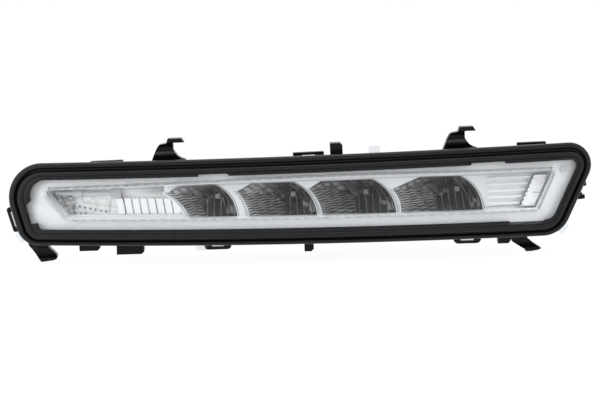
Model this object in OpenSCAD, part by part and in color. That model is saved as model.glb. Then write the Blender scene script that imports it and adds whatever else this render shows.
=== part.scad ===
// Daytime running light for a car's front bumper: a long bowed lamp with four deep
// reflector cups behind one clear lens, a rubber seal moulded around the lens, and a
// black housing with the hooks and straps that hold it in the bumper.
// Millimetres. +X is to the right seen from the front, +Y runs back into the lamp and
// +Z is up. The origin is the middle of the lens opening, on the plane that touches the
// lens where it comes furthest forward.

/* [Sub-part] */
// Which sub-part to build

/* [Overall form] */
// Radius of the lamp's bow, seen from above
bow_r = 850; // [600:10:1600]
// Place along the lamp where the bow comes furthest forward
bow_x = 63; // [-20:1:100]
// Distance from the middle to the left side line
left_d = 194.1; // [150:0.1:240]
// Rake of the left side, in degrees
left_rake = 15.9; // [5:0.1:30]
// Distance from the middle to the top line
top_d = 30.3; // [24:0.1:45]
// Rise of the top line towards the right, in degrees
top_rise = 0.9; // [-3:0.1:3]
// Distance from the middle to the right side line
right_d = 175.8; // [140:0.1:220]
// Rake of the right side, in degrees
right_rake = 25.9; // [5:0.1:35]
// Distance from the middle to the bottom line
bottom_d = 30.2; // [24:0.1:45]
// Corner radii: top left, top right, bottom right, bottom left
corner_r = [25, 15.3, 20, 15];
// Room from the lens's face at the lamp's ends to their flat back
end_room = 18.18; // [16:0.01:40]
// Depth of the bay that stands out of the flat back
bay_room = 17; // [14:1:50]

/* [Lens] */
// Thickness of the clear lens
lens_t = 2.8; // [2:0.1:4]
// Inset of the lens's edge from the seal's outer edge
lens_in = 7.2; // [6.5:0.1:8]
// Inset of the foot rib that stands in the housing's channel
foot_in = 8.6; // [8:0.1:10]
// Thickness of the foot rib
foot_t = 1.6; // [1.2:0.1:2.4]
// Depth to which the foot rib reaches, from the lens's face
foot_depth = 11.6; // [9:0.1:14]
// Width of the clear tabs that reach out behind the seal
lens_tab_w = 8; // [4:0.5:12]
// Reach of the tabs past the seal's line
lens_tab_out = 4; // [2:0.5:6]
// Thickness of the tabs
lens_tab_t = 1.6; // [1:0.1:1.8]
// Depth of the tabs' front from the lens's face
lens_tab_depth = 9.8; // [9.2:0.1:10]
// Places of the straight sides' tabs along the lamp: top, bottom
lens_tab_x = [54, -67];

/* [Edge seal] */
// Insets of the outer lip's inner edge: left, top, right, bottom
lip_in = [4.4, 3.6, 3.6, 3.0];
// Insets of the bead's outer edge
bead_out = [6.8, 6.0, 5.9, 5.4];
// Insets of the bead's inner edge
bead_in = [11.2, 8.8, 8.7, 8.4];
// Insets of the flat band's inner edge on the lens
band_in = [16.6, 11.4, 10.8, 11.8];
// Height of the bead over the lens's face
bead_h = 1.3; // [0.8:0.1:2]
// Height of the flat band over the lens's face
band_h = 0.6; // [0.4:0.1:1]
// Depth of the outer lip's front, from the lens's face
lip_depth = 2; // [1:0.1:4]
// Depth of the groove between lip and bead
groove_depth = 5.6; // [4:0.1:7]
// Depth of the seal's back
seal_depth = 9; // [8:0.1:10]
// Breaks in the flat band along the top: x from, x to
band_gaps_top = [[-68.6, -47.3], [118.3, 142.3]];
// Break in the flat band at the right end of the bottom: x from, x to
band_gap_bottom = [143.6, 168];
// Break in the flat band down the left side: z from, z to
band_gap_left = [-17.4, -4.6];
// Notch in the outer lip down the right side: z from, z to, depth at its top
lip_notch = [8.6, -8.6, 1.5];
// Gap between moulded pieces that meet on curved faces
fit = 0.05; // [0.02:0.01:0.2]

/* [Housing] */
// Inset of the channel's outer wall
rim_in = 6.8; // [6:0.1:8]
// Inset of the housing body's wall
body_in = 10.8; // [10:0.1:13]
// Wall thickness of the body
wall = 1.8; // [1.4:0.1:3]
// Thickness of the channel's outer wall
rim_wall = 1.4; // [1:0.1:2]
// Depth of the channel's outer wall front
rim_depth = 9.2; // [9:0.1:10]
// Depth of the channel's floor
channel_depth = 12; // [11:0.1:15]
// Thickness of the floors and backs
floor_t = 2; // [1.5:0.1:4]
// Depth of the body's front edge, where the bezel's flange lands
land_depth = 6.3; // [5:0.1:8]
// Deeper bay: x from, x to, z from, z to
bay = [-142, 120, -17.6, 15.6];
// Corner radius of the deeper bay
bay_r = 6; // [3:1:10]
// Places along the lamp of the ribs on its top and bottom walls
rib_x = [-165, -112, -36, 48, 82, 138];
// Thickness of the ribs
rib_t = 1.6; // [1:0.1:3]
// Height of the ribs over the wall
rib_h = 2.6; // [1:0.1:3.6]
// Radius of the screws' holes
screw_r = 1.25; // [0.8:0.05:1.5]
// Radius of the screws' bosses
boss_r = 3.2; // [2.6:0.1:4]
// Rear opening for the driver board: x from, x to, z from, z to
hatch = [-30, 62, -12.5, 10.5];
// Places of the plug and of the vent on the back: x, z
plug_place = [94, -1];
vent_place = [-95, 0];

/* [Hooks and straps] */
// Places of the two hook towers along the top
tower_x = [-90, 112];
// Places of the two tongues along the bottom
tongue_x = [-183.5, 156];
// Thickness of the towers and tongues, front to back
hook_t = 9; // [6:0.5:12]
// Depth of the hooks' front from the lens's face
hook_depth = 24; // [18:1:32]
// Thickness of the straps
strap_t = 2; // [1.5:0.1:3]
// Depth of the straps' front from the lens's face
strap_depth = 17; // [15:1:24]
// Length of the straps, front to back
strap_l = 5; // [3:0.5:8]
// Straps on the top: place, width, height over the seal's line, slot width, corner radius
top_straps = [[-131.7, 23, -0.4, 12, 0.6], [8.8, 21.4, 1.2, 9, 0.6], [162.5, 20, 0.6, 7, 0.6]];
// Straps on the bottom: place, width, height, slot width, corner radius
bottom_straps = [[-55.7, 18.6, 4.6, 8.4, 2.6], [116.6, 19.2, 4.8, 9, 3.4]];
// Strap on the left: height up the side, width, height over the line, slot width, corner radius
left_strap = [-12.6, 18, 4.2, 11.2, 1.8];
// Blocks on the top: place, depth, width, height, length
top_blocks = [[28.1, 20, 8.6, 6.4, 10]];
// Blocks on the bottom: place, depth, width, height, length
bottom_blocks = [[-145.8, 14, 14.5, 5, 8], [-117.1, 16, 19.2, 7.6, 10], [7.4, 20, 6.5, 7.4, 10], [142.3, 18, 8.9, 6, 10]];
// Pegs on the right: reach past the side's line, z from, z to
pegs = [[4.1, 1.1, 3.8], [2.7, -0.8, 0.4], [5, -8, -3.4], [7.2, -7.7, -5]];

/* [Bezel] */
// Thickness of the bezel's walls
bezel_t = 1.8; // [1.2:0.1:2.4]
// Inset of the flange's outer edge
flange_in = 10.5; // [10:0.1:12]
// Window sides, as the direction each faces and its distance from the middle
window = [[220.9, 130.2], [92.07, 17.15], [89.8, 17.8], [-25.2, 155.2], [-90, 13.2]];
// Window corner radii, from the left corner clockwise
window_r = [4.5, 2600, 3, 3, 3];
// Places of the border's round ears along the lamp
ear_x = [-153.9, -117.8, -82.8, -49, -15.9, 16.3, 47.3, 76.7, 106.5, 134, 161.3];
// Width of the strip of deck between the left bay and the first cup
strip_w = 2.8; // [2:0.1:5]
// Ribs of the right bay: x from, z from, z to
rib_bay = [131, -8.2, 11];
// Distance between those ribs
rib_pitch = 4.4; // [3:0.1:8]
// Height of each of them
rib_w = 1.6; // [1:0.1:2.6]
// Places of the bezel's two screws: x, z
bezel_screw_places = [[-189.3, 8], [183.5, 15.5]];
// Depth of the deck behind the window
deck_depth = 14; // [10:0.5:18]
// Width of the fluted border around the window
border_w = 2.2; // [1.5:0.1:3]
// Height of the fluted border over the flange
border_h = 1; // [0.6:0.1:1.6]

/* [Reflector cups] */
// Left corner of each cup's mouth
cup_tip = [[-89.2, 5.2], [-41, 5.8], [8.2, 6.6], [65.6, 5]];
// Top edge of each cup's mouth: x from, x to, z at the left, z at the right
cup_top = [[-81.5, -57, 10.3, 11.2], [-30.7, -2.6, 11.5, 11.7],
           [16.7, 51.3, 11.9, 12.3], [84.5, 111.5, 12.8, 12.7]];
// Bottom edge of each cup's mouth: x from, x to
cup_foot = [[-74.4, -41.2], [-33.4, 13.6], [17.3, 68.2], [71.2, 127.6]];
// Height of the cups' bottom edge
cup_foot_z = -11.6; // [-14:0.1:-8]
// Bulge of a cup's right edge
cup_bulge = 4.2; // [1:0.1:6]
// Bulge of a cup's left edge
cup_hollow = 1.8; // [0:0.1:4]
// Wall thickness of the cups
cup_wall = 1.1; // [0.8:0.1:2]
// Flutes on the left half of each cup
cup_flutes = 14; // [6:1:20]
// Depth of a flute
flute_d = 0.7; // [0.2:0.1:1.5]
// Radius of the hole for the lamp chip
cup_hole = 2.6; // [2.4:0.1:6]
// Offset of the lamp chip from the middle of its cup, to the right
cup_shift = 6; // [0:0.5:8]
// Room from the cups' backs to the back of the bay
cup_room = 29; // [24:1:36]
// Depth of the reflector's plate behind the deck
bank_t = 1.6; // [1:0.1:2.4]

/* [Boards and heat sink] */
// Thickness of the circuit boards
board_t = 1.6; // [1:0.1:2.4]
// Thickness of the heat pad
pad_t = 0.6; // [0.3:0.1:1.5]
// Thickness of the heat sink's plate
sink_t = 2.6; // [1.5:0.1:4]
// Height of its fins
sink_fin = 8; // [3:0.5:12]
// Distance between fins
fin_pitch = 6; // [4:0.5:12]
// Thickness of a fin
fin_t = 1.2; // [0.8:0.1:2]
// Ends of the boards and the heat sink: x from, x to
strip = [-80, 117];
// Height of the lamp board
strip_h = 22; // [20:0.5:24]
// Places of the screws that hold it: along the lamp, and up and down from the middle
sink_screw_x = [-50, 84];
sink_screw_z = 8.4; // [7:0.1:9]
// Width of a lamp chip
chip_w = 3.2; // [2:0.1:4]

/* [Left bay] */
// Depth of the tray's floor
tray_depth = 20; // [18:0.5:26]
// Thickness of the tray
tray_t = 1.2; // [0.8:0.1:2]
// Light rod: x from, x to
rod_x = [-168, -126.6];
// Height of the rod's axis
rod_z = 4.9; // [2:0.1:7]
// Radius of the rod
rod_r = 1.4; // [0.8:0.1:2]
// Depth of the rod's axis
rod_depth = 16.9; // [16:0.1:18]
// The rod's collar: distance from its left end, length, extra radius
collar = [14, 5.4, 1.3];
// Clip that holds the rod: x from, x to, z from, z to
clip = [-129, -122, 1.6, 8.8];
// Fluted panel: x from, x to, z from, z to
panel = [-124, -79.4, -9.6, 1.2];
// Flutes on the panel
panel_flutes = 8; // [4:1:14]

/* [End optic] */
// Width of the optic at the right end
optic_w = 9; // [6:0.5:14]
// Gap between it and the border
optic_in = 1.7; // [1:0.1:3]
// Its blocks: z from, z to
optic_blocks = [[-9.7, -1.5], [-0.9, 7.2], [7.8, 11.7]];

/* [Driver, cover and plug] */
// Thickness of the rear cover
cover_t = 2.2; // [1.6:0.1:3]
// Thickness and width of its seal
gasket_t = 1.2; // [0.8:0.1:2]
gasket_w = 1.2; // [0.8:0.1:2]
// Distance from the driver board's front to the back of the bay
driver_room = 9; // [7:0.5:12]
// Length of the plug's shell
plug_l = 16; // [10:0.5:24]
// Contacts in the plug
pins = 3; // [1:1:3]
// Distance between contacts
pin_pitch = 5; // [3:0.5:6]

/* [Hidden] */
$fn = 48;

// ---- outlines ----
function unit(a) = [cos(a), sin(a)];
// How far back the lens's face lies at x, or the surface at a depth d behind it
function front(x, d = 0) = bow_r - sqrt((bow_r - d) * (bow_r - d) - (x - bow_x) * (x - bow_x));
// Where two side lines meet, each given as [direction it faces, distance]
function meet(p, q) = let (n = unit(p[0]), m = unit(q[0]), k = n[0] * m[1] - n[1] * m[0])
    [(p[1] * m[1] - q[1] * n[1]) / k, (n[0] * q[1] - m[0] * p[1]) / k];
function part_of(t, i) = is_list(t) ? t[i] : t;
function inset(sides, t) = [for (i = [0:len(sides) - 1]) [sides[i][0], sides[i][1] - part_of(t, i)]];
function centre(sides, r, i) = let (j = (i + 1) % len(sides), p = sides[i], q = sides[j])
    meet([p[0], p[1] - r[i]], [q[0], q[1] - r[i]]);
function turn(sides, i) = (sides[i][0] - sides[(i + 1) % len(sides)][0] + 720) % 360;
// Closed outline from its side lines, clockwise, with the corner after each side rounded
function rounded(sides, r, steps) = [for (i = [0:len(sides) - 1], k = [0:steps])
    centre(sides, r, i) + r[i] * unit(sides[i][0] - turn(sides, i) * k / steps)];
lamp = [[180 + left_rake, left_d], [90 + top_rise, top_d], [-right_rake, right_d], [-90, bottom_d]];
// Side distances for which the places along the lamp are given; each half stretches with its own
given_d = [194.1, 175.8];
function along(x) = x * (x < 0 ? left_d / given_d[0] : right_d / given_d[1]);
back_y = max(front(-left_d), front(right_d)) + end_room;
bay_y = back_y + bay_room;
function lamp_radii(t) = [for (i = [0:3])
    max(3, corner_r[i] - (part_of(t, i) + part_of(t, (i + 1) % 4)) / 2)];
// Stretches in each rounded corner
corner_steps = 8;
function outline(t) = rounded(inset(lamp, t), lamp_radii(t), corner_steps);
function opening(t) = rounded(inset(frame_sides, t), [for (r = window_r) max(1, r - t)], 6);
// Height of the top or bottom line at x, and place of the left or right line at z
function line_z(side, t, x) = (side[1] - t - x * cos(side[0])) / sin(side[0]);
function line_x(side, t, z) = (side[1] - t - z * sin(side[0])) / cos(side[0]);
function bend(a, b, bulge, n) = let (m = (a + b) / 2, d = (b - a) / norm(b - a), k = [-d[1], d[0]])
    [for (i = [0:n]) let (s = i / n) a + (b - a) * s + k * bulge * 4 * s * (1 - s)];

// ---- solids from outlines ----
module prism(y0, y1) translate([0, y1, 0]) rotate([90, 0, 0]) linear_extrude(y1 - y0) children();
// All that lies deeper than d behind the lens's face
module behind(d) translate([bow_x, bow_r, -100]) cylinder(r = bow_r - d, h = 200, $fn = 360);
// The layer of an outline between two depths, which follows the bow
module layer(d0, d1) intersection() {
    prism(-5, bay_y) children();
    difference() { behind(d0); behind(d1); }
}
// Surface closed both ways through rings of points, each ring with the same count
module ring_surface(rings) {
    m = len(rings); n = len(rings[0]);
    polyhedron(points = [for (r = rings) each r],
        faces = [for (i = [0:m - 1], j = [0:n - 1]) let (i1 = (i + 1) % m, j1 = (j + 1) % n)
            each [[i * n + j, i1 * n + j1, i1 * n + j], [i * n + j, i * n + j1, i1 * n + j1]]]);
}
// Places children at p = [x, z] on the bow, their +Y square into its face
module on_bow(p, depth) translate([p[0], front(p[0]), p[1]]) rotate([0, 0, asin((p[0] - bow_x) / bow_r)])
    translate([0, depth, 0]) children();
module along_y(r, y0, y1) translate([0, y0, 0]) rotate([-90, 0, 0]) cylinder(r = r, h = y1 - y0);
// Places children on a side's outer line, their +Z facing out of the lamp
module on_side(side, x, z, depth) translate([x, front(x) + depth, z])
    mirror([side[0] == -90 ? 1 : 0, 0, 0]) rotate([0, 90 - side[0], 0]) children();
module on_top(p, depth) let (x = along(p)) on_side(lamp[1], x, line_z(lamp[1], 0, x), depth) children();
module on_bottom(p, depth) on_side(lamp[3], along(p), -bottom_d, depth) children();
module on_left(z, depth) on_side(lamp[0], line_x(lamp[0], 0, z), z, depth) children();

// ---- lens, seal and sealant ----
// Clear tabs that reach out behind the seal: [corner or side place, direction]
function corner_place(i, a) = centre(lamp, corner_r, i) + corner_r[i] * unit(a);
lens_tabs = [[[along(lens_tab_x[0]), line_z(lamp[1], 0, along(lens_tab_x[0]))], lamp[1][0]],
             [corner_place(2, -48), -48], [corner_place(3, 217), 217], [[along(lens_tab_x[1]), -bottom_d], -90]];
module lens_tab_shapes(grow) for (t = lens_tabs) translate(t[0]) rotate(t[1] - 90)
    polygon([[-lens_tab_w / 2 - grow, -foot_in - foot_t / 2], [lens_tab_w / 2 + grow, -foot_in - foot_t / 2],
             [lens_tab_w / 2 + grow, 1], [lens_tab_w / 2 - 1.5 + grow, lens_tab_out + grow],
             [-lens_tab_w / 2 + 1.5 - grow, lens_tab_out + grow], [-lens_tab_w / 2 - grow, 1]]);
module foot_ring() difference() {
    polygon(outline(foot_in));
    polygon(outline(foot_in + foot_t));
}
module lens() color("#e8eef2", 0.35) {
    layer(0, lens_t) polygon(outline(lens_in));
    layer(lens_t - 0.1, foot_depth) foot_ring();
    layer(lens_tab_depth, lens_tab_depth + lens_tab_t) difference() {
        lens_tab_shapes(0);
        polygon(outline(foot_in + foot_t / 2));
    }
}

module sealant_bead() color("#d8d8d4") difference() {
    layer(channel_depth - 2.4, channel_depth) difference() {
        polygon(outline(rim_in + rim_wall));
        polygon(outline(body_in));
    }
    layer(channel_depth - 3, foot_depth) foot_ring();
    layer(channel_depth - 3, lens_tab_depth + lens_tab_t) lens_tab_shapes(0.2);
}

// Stations round the lamp: [side or corner, place along it, 1 where the flat band is broken,
// depth of a notch in the lip]
seal_pitch = 15;
seal_step = 0.4;
function side_ends(i) = let (h = (i + 3) % 4, a = lamp[i][0])
    [centre(lamp, corner_r, h) + corner_r[h] * unit(a), centre(lamp, corner_r, i) + corner_r[i] * unit(a)];
function stretch(i, axis, p0, p1, broken) = let (e = side_ends(i), a = e[0][axis], b = e[1][axis],
    n = max(1, ceil(abs(p1 - p0) / seal_pitch)))
    [for (k = [0:n]) [i, (p0 + (p1 - p0) * k / n - a) / (b - a), broken]];
function bend_stations(i) = [for (k = [1:corner_steps - 1]) [i + 10, k / corner_steps, 0]];
g0 = [for (x = band_gaps_top[0]) along(x)];
g1 = [for (x = band_gaps_top[1]) along(x)];
gb = [for (x = band_gap_bottom) along(x)];
function share_at(i, z) = let (e = side_ends(i)) (z - e[0][1]) / (e[1][1] - e[0][1]);
stations = concat(
    stretch(0, 1, side_ends(0)[0][1], band_gap_left[0], 0),
    stretch(0, 1, band_gap_left[0] + seal_step, band_gap_left[1] - seal_step, 1),
    [[0, 1, 0]], bend_stations(0),
    stretch(1, 0, side_ends(1)[0][0], g0[0], 0), stretch(1, 0, g0[0] + seal_step, g0[1] - seal_step, 1),
    stretch(1, 0, g0[1], g1[0], 0), stretch(1, 0, g1[0] + seal_step, g1[1] - seal_step, 1),
    stretch(1, 0, g1[1], side_ends(1)[1][0], 0), bend_stations(1),
    stretch(2, 1, side_ends(2)[0][1], lip_notch[0], 0),
    [[2, share_at(2, lip_notch[0] - seal_step), 0, lip_notch[2]]],
    stretch(2, 1, lip_notch[1], side_ends(2)[1][1], 0), bend_stations(2),
    [[3, 0, 0]], stretch(3, 0, gb[1] - seal_step, gb[0] + seal_step, 1),
    stretch(3, 0, gb[0], side_ends(3)[1][0], 0), bend_stations(3));
function station_point(st, t) = let (sides = inset(lamp, t), r = lamp_radii(t), i = st[0] % 10,
    h = (i + 3) % 4, a = sides[i][0])
    st[0] >= 10 ? centre(sides, r, i) + r[i] * unit(a - turn(sides, i) * st[1])
    : let (p = centre(sides, r, h) + r[h] * unit(a), q = centre(sides, r, i) + r[i] * unit(a))
        p + (q - p) * st[1];
function plus(t, d) = [for (v = t) v + d];
// Section of the seal: [inset, depth] round it, from the band's edge on the lens
function seal_section(broken, notch) = let (b = broken ? plus(bead_in, 0.9) : band_in)
    [[b, -fit], [b, -band_h], [plus(bead_in, 0.4), -band_h], [plus(bead_in, -0.4), -bead_h],
     [plus(bead_out, 0.5), -bead_h], [bead_out, -bead_h + 0.6], [plus(bead_out, -0.2), groove_depth],
     [plus(lip_in, 0.2), groove_depth], [lip_in, lip_depth + 0.7], [plus(lip_in, -0.7), lip_depth],
     [notch + 1.1, lip_depth], [notch, lip_depth + 1.4], [notch, lip_depth + 4.2], [notch + 1.2, seal_depth],
     [foot_in - 0.2, seal_depth], [foot_in - 0.2, lens_t + fit], [lens_in - fit, lens_t + fit],
     [lens_in - fit, -fit]];
module edge_seal() color("#232427") ring_surface([for (st = stations)
    [for (v = seal_section(st[2], is_num(st[3]) ? st[3] : 0)) let (p = station_point(st, v[0]))
        [p[0], front(p[0], v[1]), p[1]]]]);

// ---- housing ----
// Outline of a hook tower above the seal's line, its blade to the right
tower = [[-11.6, -body_in - 1], [-11.4, -3.6], [-10.4, -2.4], [-8.8, 1.4], [-7, 5.4], [-5.4, 8], [-4, 9.1], [0.5, 9.8],
         [1.5, 13], [11, 13], [13, 10], [5.2, 10], [5.2, 5.4], [6.3, 3.2], [8.2, 0.8], [10.4, -0.9], [13.6, -2],
         [13.6, -body_in - 1]];
// Outlines of the left and the right tongue below the seal's line
tongues = [[[-6.6, -body_in - 1], [-6.2, 0.2], [2.3, 12.8], [3, 13], [11.6, 12], [13.3, 11.2], [13.9, 10], [13.5, 8.1],
            [8.9, 3.5], [8, 1.6], [8, -body_in - 1]],
           [[-9, -body_in - 1], [-8.8, 3.6], [-7.3, 6.2], [-3.3, 8.8], [0.7, 11.2], [1.9, 13], [5.5, 13], [10.7, 12.2],
            [12.7, 11.1], [7.1, 7.3], [3.1, 3.8], [3.1, -body_in - 1]]];
scoop_r = 5;
bowl_r = 6;
module hook(shape) difference() {
    prism(0, hook_t) polygon(shape);
    translate([0, 1.8 - scoop_r, 6.4]) rotate([0, 90, 0]) cylinder(r = scoop_r, h = 60, center = true);
    translate([0, 2 - bowl_r, -3.4]) rotate([0, 90, 0]) cylinder(r = bowl_r, h = 60, center = true);
}
// Strap with a slot under its bridge: width, height over the seal's line, slot width, corner radius
module strap(w, out, slot, r) prism(0, strap_l) difference() {
    polygon(concat([[-w / 2, -body_in - 1]], [for (a = [0:15:90]) [-w / 2 + r * (1 - cos(a)), out - r * (1 - sin(a))]],
        [for (a = [0:15:90]) [w / 2 - r * (1 - sin(a)), out - r * (1 - cos(a))]], [[w / 2, -body_in - 1]]));
    translate([-slot / 2, -body_in / 2]) square([slot, body_in / 2 + out - strap_t]);
}
module block(w, out, l) difference() {
    translate([-w / 2, 0, -body_in - 1]) cube([w, l, body_in + 1 + out]);
    translate([w / 2, -1, out]) rotate([0, 45, 0]) cube([2.4, 2 * l + 4, 2.4], center = true);
    translate([-w / 2 + 1.6, 1.6, -body_in / 2]) cube([w - 3.2, l, body_in / 2 + out - 1.6]);
}
module hooks() {
    for (x = tower_x) on_top(x, hook_depth) hook(tower);
    for (i = [0, 1]) on_bottom(tongue_x[i], min(hook_depth, back_y - hook_t - front(along(tongue_x[i])))) hook(tongues[i]);
}
module straps() {
    for (s = top_straps) on_top(s[0], strap_depth) strap(s[1], s[2], s[3], s[4]);
    for (s = bottom_straps) on_bottom(s[0], strap_depth) strap(s[1], s[2], s[3], s[4]);
    on_left(left_strap[0], strap_depth - strap_l) strap(left_strap[1], left_strap[2], left_strap[3], left_strap[4]);
}
module blocks() {
    for (b = top_blocks) on_top(b[0], b[1]) block(b[2], b[3], b[4]);
    for (b = bottom_blocks) on_bottom(b[0], b[1]) block(b[2], b[3], b[4]);
    for (p = pegs) let (x = line_x(lamp[2], 0, (p[1] + p[2]) / 2), l = body_in + 2.4)
        translate([x - l, front(x) + 20, p[1]]) cube([l + p[0], 7, p[2] - p[1]]);
}
// Ribs that stiffen the top and bottom walls, by x
module wall_ribs() for (p = rib_x) let (x = along(p)) {
    on_top(p, channel_depth) translate([-rib_t / 2, 0, -body_in - 1])
        cube([rib_t, back_y - front(x) - channel_depth, rib_h + 1]);
    on_bottom(p, channel_depth) translate([-rib_t / 2, 0, -body_in - 1])
        cube([rib_t, back_y - front(x) - channel_depth, rib_h + 1]);
}
module bay_shape(t) translate([along(bay[0]) + t, bay[2] + t]) let (w = along(bay[1]) - along(bay[0]) - 2 * t,
    h = bay[3] - bay[2] - 2 * t, r = bay_r - t) {
    for (x = [r, w - r], y = [r, h - r]) translate([x, y]) circle(r);
    translate([r, 0]) square([w - 2 * r, h]);
    translate([0, r]) square([w, h - 2 * r]);
}

sink_screws = [for (x = sink_screw_x, z = [-sink_screw_z, sink_screw_z]) [along(x), z]];
door = [along(hatch[0]), along(hatch[1]), hatch[2], hatch[3]];
cover_screws_at = [for (x = [door[0] - 4.5, door[1] + 4.5], z = [-8, 6]) [x, z]];
plug_at = [along(plug_place[0]), plug_place[1]];
vent_at = [along(vent_place[0]), vent_place[1]];
socket_hole = [22, 14];
module at(p) translate([p[0], 0, p[1]]) children();
module bosses() {
    for (p = sink_screws) at(p) along_y(boss_r, sink_back, bay_y - floor_t / 2);
    for (p = cover_screws_at) at(p) along_y(boss_r, bay_y - 9, bay_y);
    for (p = bezel_screws_at) on_bow(p, land_depth)
        along_y(boss_r, 0.02, (back_y - floor_t / 2 - land_depth - front(p[0])) / cos(asin((p[0] - bow_x) / bow_r)));
}
module housing() color("#212328") difference() {
    union() {
        difference() {
            union() {
                intersection() {
                    prism(-5, back_y) polygon(outline(body_in));
                    behind(land_depth);
                }
                layer(rim_depth, channel_depth + floor_t) polygon(outline(rim_in));
                prism(back_y - 6, bay_y) bay_shape(0);
            }
            prism(-6, back_y - floor_t) polygon(outline(body_in + wall));
            prism(back_y - 7, bay_y - floor_t) bay_shape(wall);
        }
        hooks();
        straps();
        blocks();
        wall_ribs();
        bosses();
    }
    for (p = sink_screws) at(p) along_y(screw_r, sink_back - 1, sink_back + 10);
    for (p = cover_screws_at) at(p) along_y(screw_r, bay_y - 8, bay_y + 1);
    for (p = bezel_screws_at) on_bow(p, land_depth) along_y(screw_r, -1, 9);
    layer(-1, channel_depth) difference() {
        polygon(outline(rim_in + rim_wall));
        polygon(outline(body_in));
    }
    layer(rim_depth - 1, lens_tab_depth + lens_tab_t + 0.2) lens_tab_shapes(0.3);
    prism(bay_y - floor_t - 1, bay_y + 1) {
        translate([door[0], door[2]]) square([door[1] - door[0], door[3] - door[2]]);
        translate(plug_at) square(socket_hole, center = true);
        translate(vent_at) circle(3);
    }
}

// ---- bezel ----
bezel_screws_at = [for (p = bezel_screw_places) [along(p[0]), p[1]]];
frame_sides = [for (w = window) [w[0], w[1] * (cos(w[0]) < -0.3 ? left_d / given_d[0] : cos(w[0]) > 0.3 ? right_d / given_d[1] : 1)]];
cup_ids = [0:3];
// Outline of a cup's mouth, clockwise: n stretches up its left edge, k along its top and foot
tips = [for (p = cup_tip) [along(p[0]), p[1]]];
tops = [for (t = cup_top) [along(t[0]), along(t[1]), t[2], t[3]]];
feet = [for (f = cup_foot) [along(f[0]), along(f[1])]];
function mouth(i, n, k) = let (tip = tips[i], t = tops[i], f = feet[i],
    edge = bend([t[1], t[3]], [f[1], cup_foot_z], cup_bulge, 9))
    concat(bend([f[0], cup_foot_z], tip, -cup_hollow, n), k > 1 ? [(tip + [t[0], t[2]]) / 2] : [],
        [for (a = [0:k]) [t[0] + (t[1] - t[0]) * a / k, t[2] + (t[3] - t[2]) * a / k]],
        [for (a = [1:8]) edge[a]],
        [for (a = [0:k - 1]) [f[1] + (f[0] - f[1]) * a / k, cup_foot_z]]);
function rib_end(z) = line_x(frame_sides[3], border_w + optic_in + optic_w + 1, z);
module bay_mask() let (foot = feet[0][0] - strip_w, tip = tips[0], top = tops[0][0] - strip_w)
    polygon([[-260, -60], [foot, -60], for (p = bend([foot, cup_foot_z], tip - [strip_w, 0], -cup_hollow, 8)) p,
             [top, tops[0][2]], [top, 60], [-260, 60]]);
// Height of the window's arched top, and of its foot, at x
function window_top(x) = line_z(frame_sides[x < 16 ? 1 : 2], 0, x);
module bezel() color("#e4e6e8") union() {
    difference() {
        union() {
            layer(land_depth - bezel_t, land_depth) polygon(outline(flange_in));
            // fluted border and the small ears beside it
            layer(land_depth - bezel_t - border_h, land_depth - 0.4) polygon(opening(0));
            layer(land_depth - bezel_t - border_h / 2, land_depth - 0.8) for (p = ear_x) let (x = along(p)) {
                translate([x, window_top(x) - 0.3]) circle(1.5, $fn = 16);
                translate([x, 0.3 - frame_sides[4][1]]) circle(1.5, $fn = 16);
            }
            // wall and deck
            layer(land_depth - 1, deck_depth + bezel_t) polygon(opening(0.5));
        }
        difference() {
            prism(-6, bay_y + 1) polygon(opening(border_w));
            behind(deck_depth);
        }
        prism(-6, bay_y + 1) {
            for (i = cup_ids) polygon(mouth(i, 8, 1));
            intersection() {
                polygon(opening(border_w + 1.2));
                bay_mask();
            }
        }
        for (p = bezel_screws_at) on_bow(p, 0) along_y(screw_r + 0.3, 0, deck_depth);
    }
    // ribs of the right bay, up to the end optic
    layer(deck_depth - 2.4, deck_depth + 0.3) for (z = [rib_bay[1] : rib_pitch : rib_bay[2]])
        polygon([[along(rib_bay[0]), z], [rib_end(z), z], [rib_end(z + rib_w), z + rib_w], [along(rib_bay[0]), z + rib_w]]);
}

// ---- reflector cups ----
cup_back = bay_y - cup_room;
cup_x = [for (i = cup_ids) (tops[i][0] + feet[i][1]) / 2 + cup_shift];
bank_depth = deck_depth + bezel_t;
cup_rings = [1, 0.9, 0.78, 0.64, 0.48, 0.33];
// Ring of a cup at size g of its mouth, drawn round its middle down to its back hole
function cup_ring(i, g, grow) = let (c = [cup_x[i], 0], m = mouth(i, 2 * cup_flutes, 6), last = cup_rings[5],
    s = (1 - g * g) / (1 - last * last), u = (1 - g) / (1 - last))
    [for (j = [0:len(m) - 1]) let (d = m[j] - c, a = atan2(d[1], d[0]),
        wave = grow == 0 && j < 2 * cup_flutes && j % 2 == 1 ? flute_d * min(1, 4 * u) * (1 - 0.8 * u) : 0,
        q = c + unit(a) * (norm(d) * (1 - u) + cup_hole * u + grow - wave),
        y0 = front(m[j][0]) + bank_depth + bank_t / 2)
        [q[0], y0 + (cup_back - y0) * s, q[1]]];
module cup(i) ring_surface(concat(
    [for (g = cup_rings) cup_ring(i, g, 0)],
    [for (k = [5, 4, 3, 1, 0]) cup_ring(i, cup_rings[k], cup_wall)]));
bay_mask_min = along(-92);
bank_right = along(130.6);
module reflector_bank() color("#6c7076") union() {
    layer(bank_depth, bank_depth + bank_t) difference() {
        intersection() {
            polygon(opening(0.5));
            translate([bay_mask_min, -40]) square([bank_right - bay_mask_min, 80]);
        }
        translate([0.3, 0]) bay_mask();
        for (i = cup_ids) let (c = [cup_x[i] - 7.3, 0.45]) polygon([for (p = mouth(i, 8, 1)) c + (p - c) * 1.014]);
    }
    for (i = cup_ids) cup(i);
}

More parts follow.
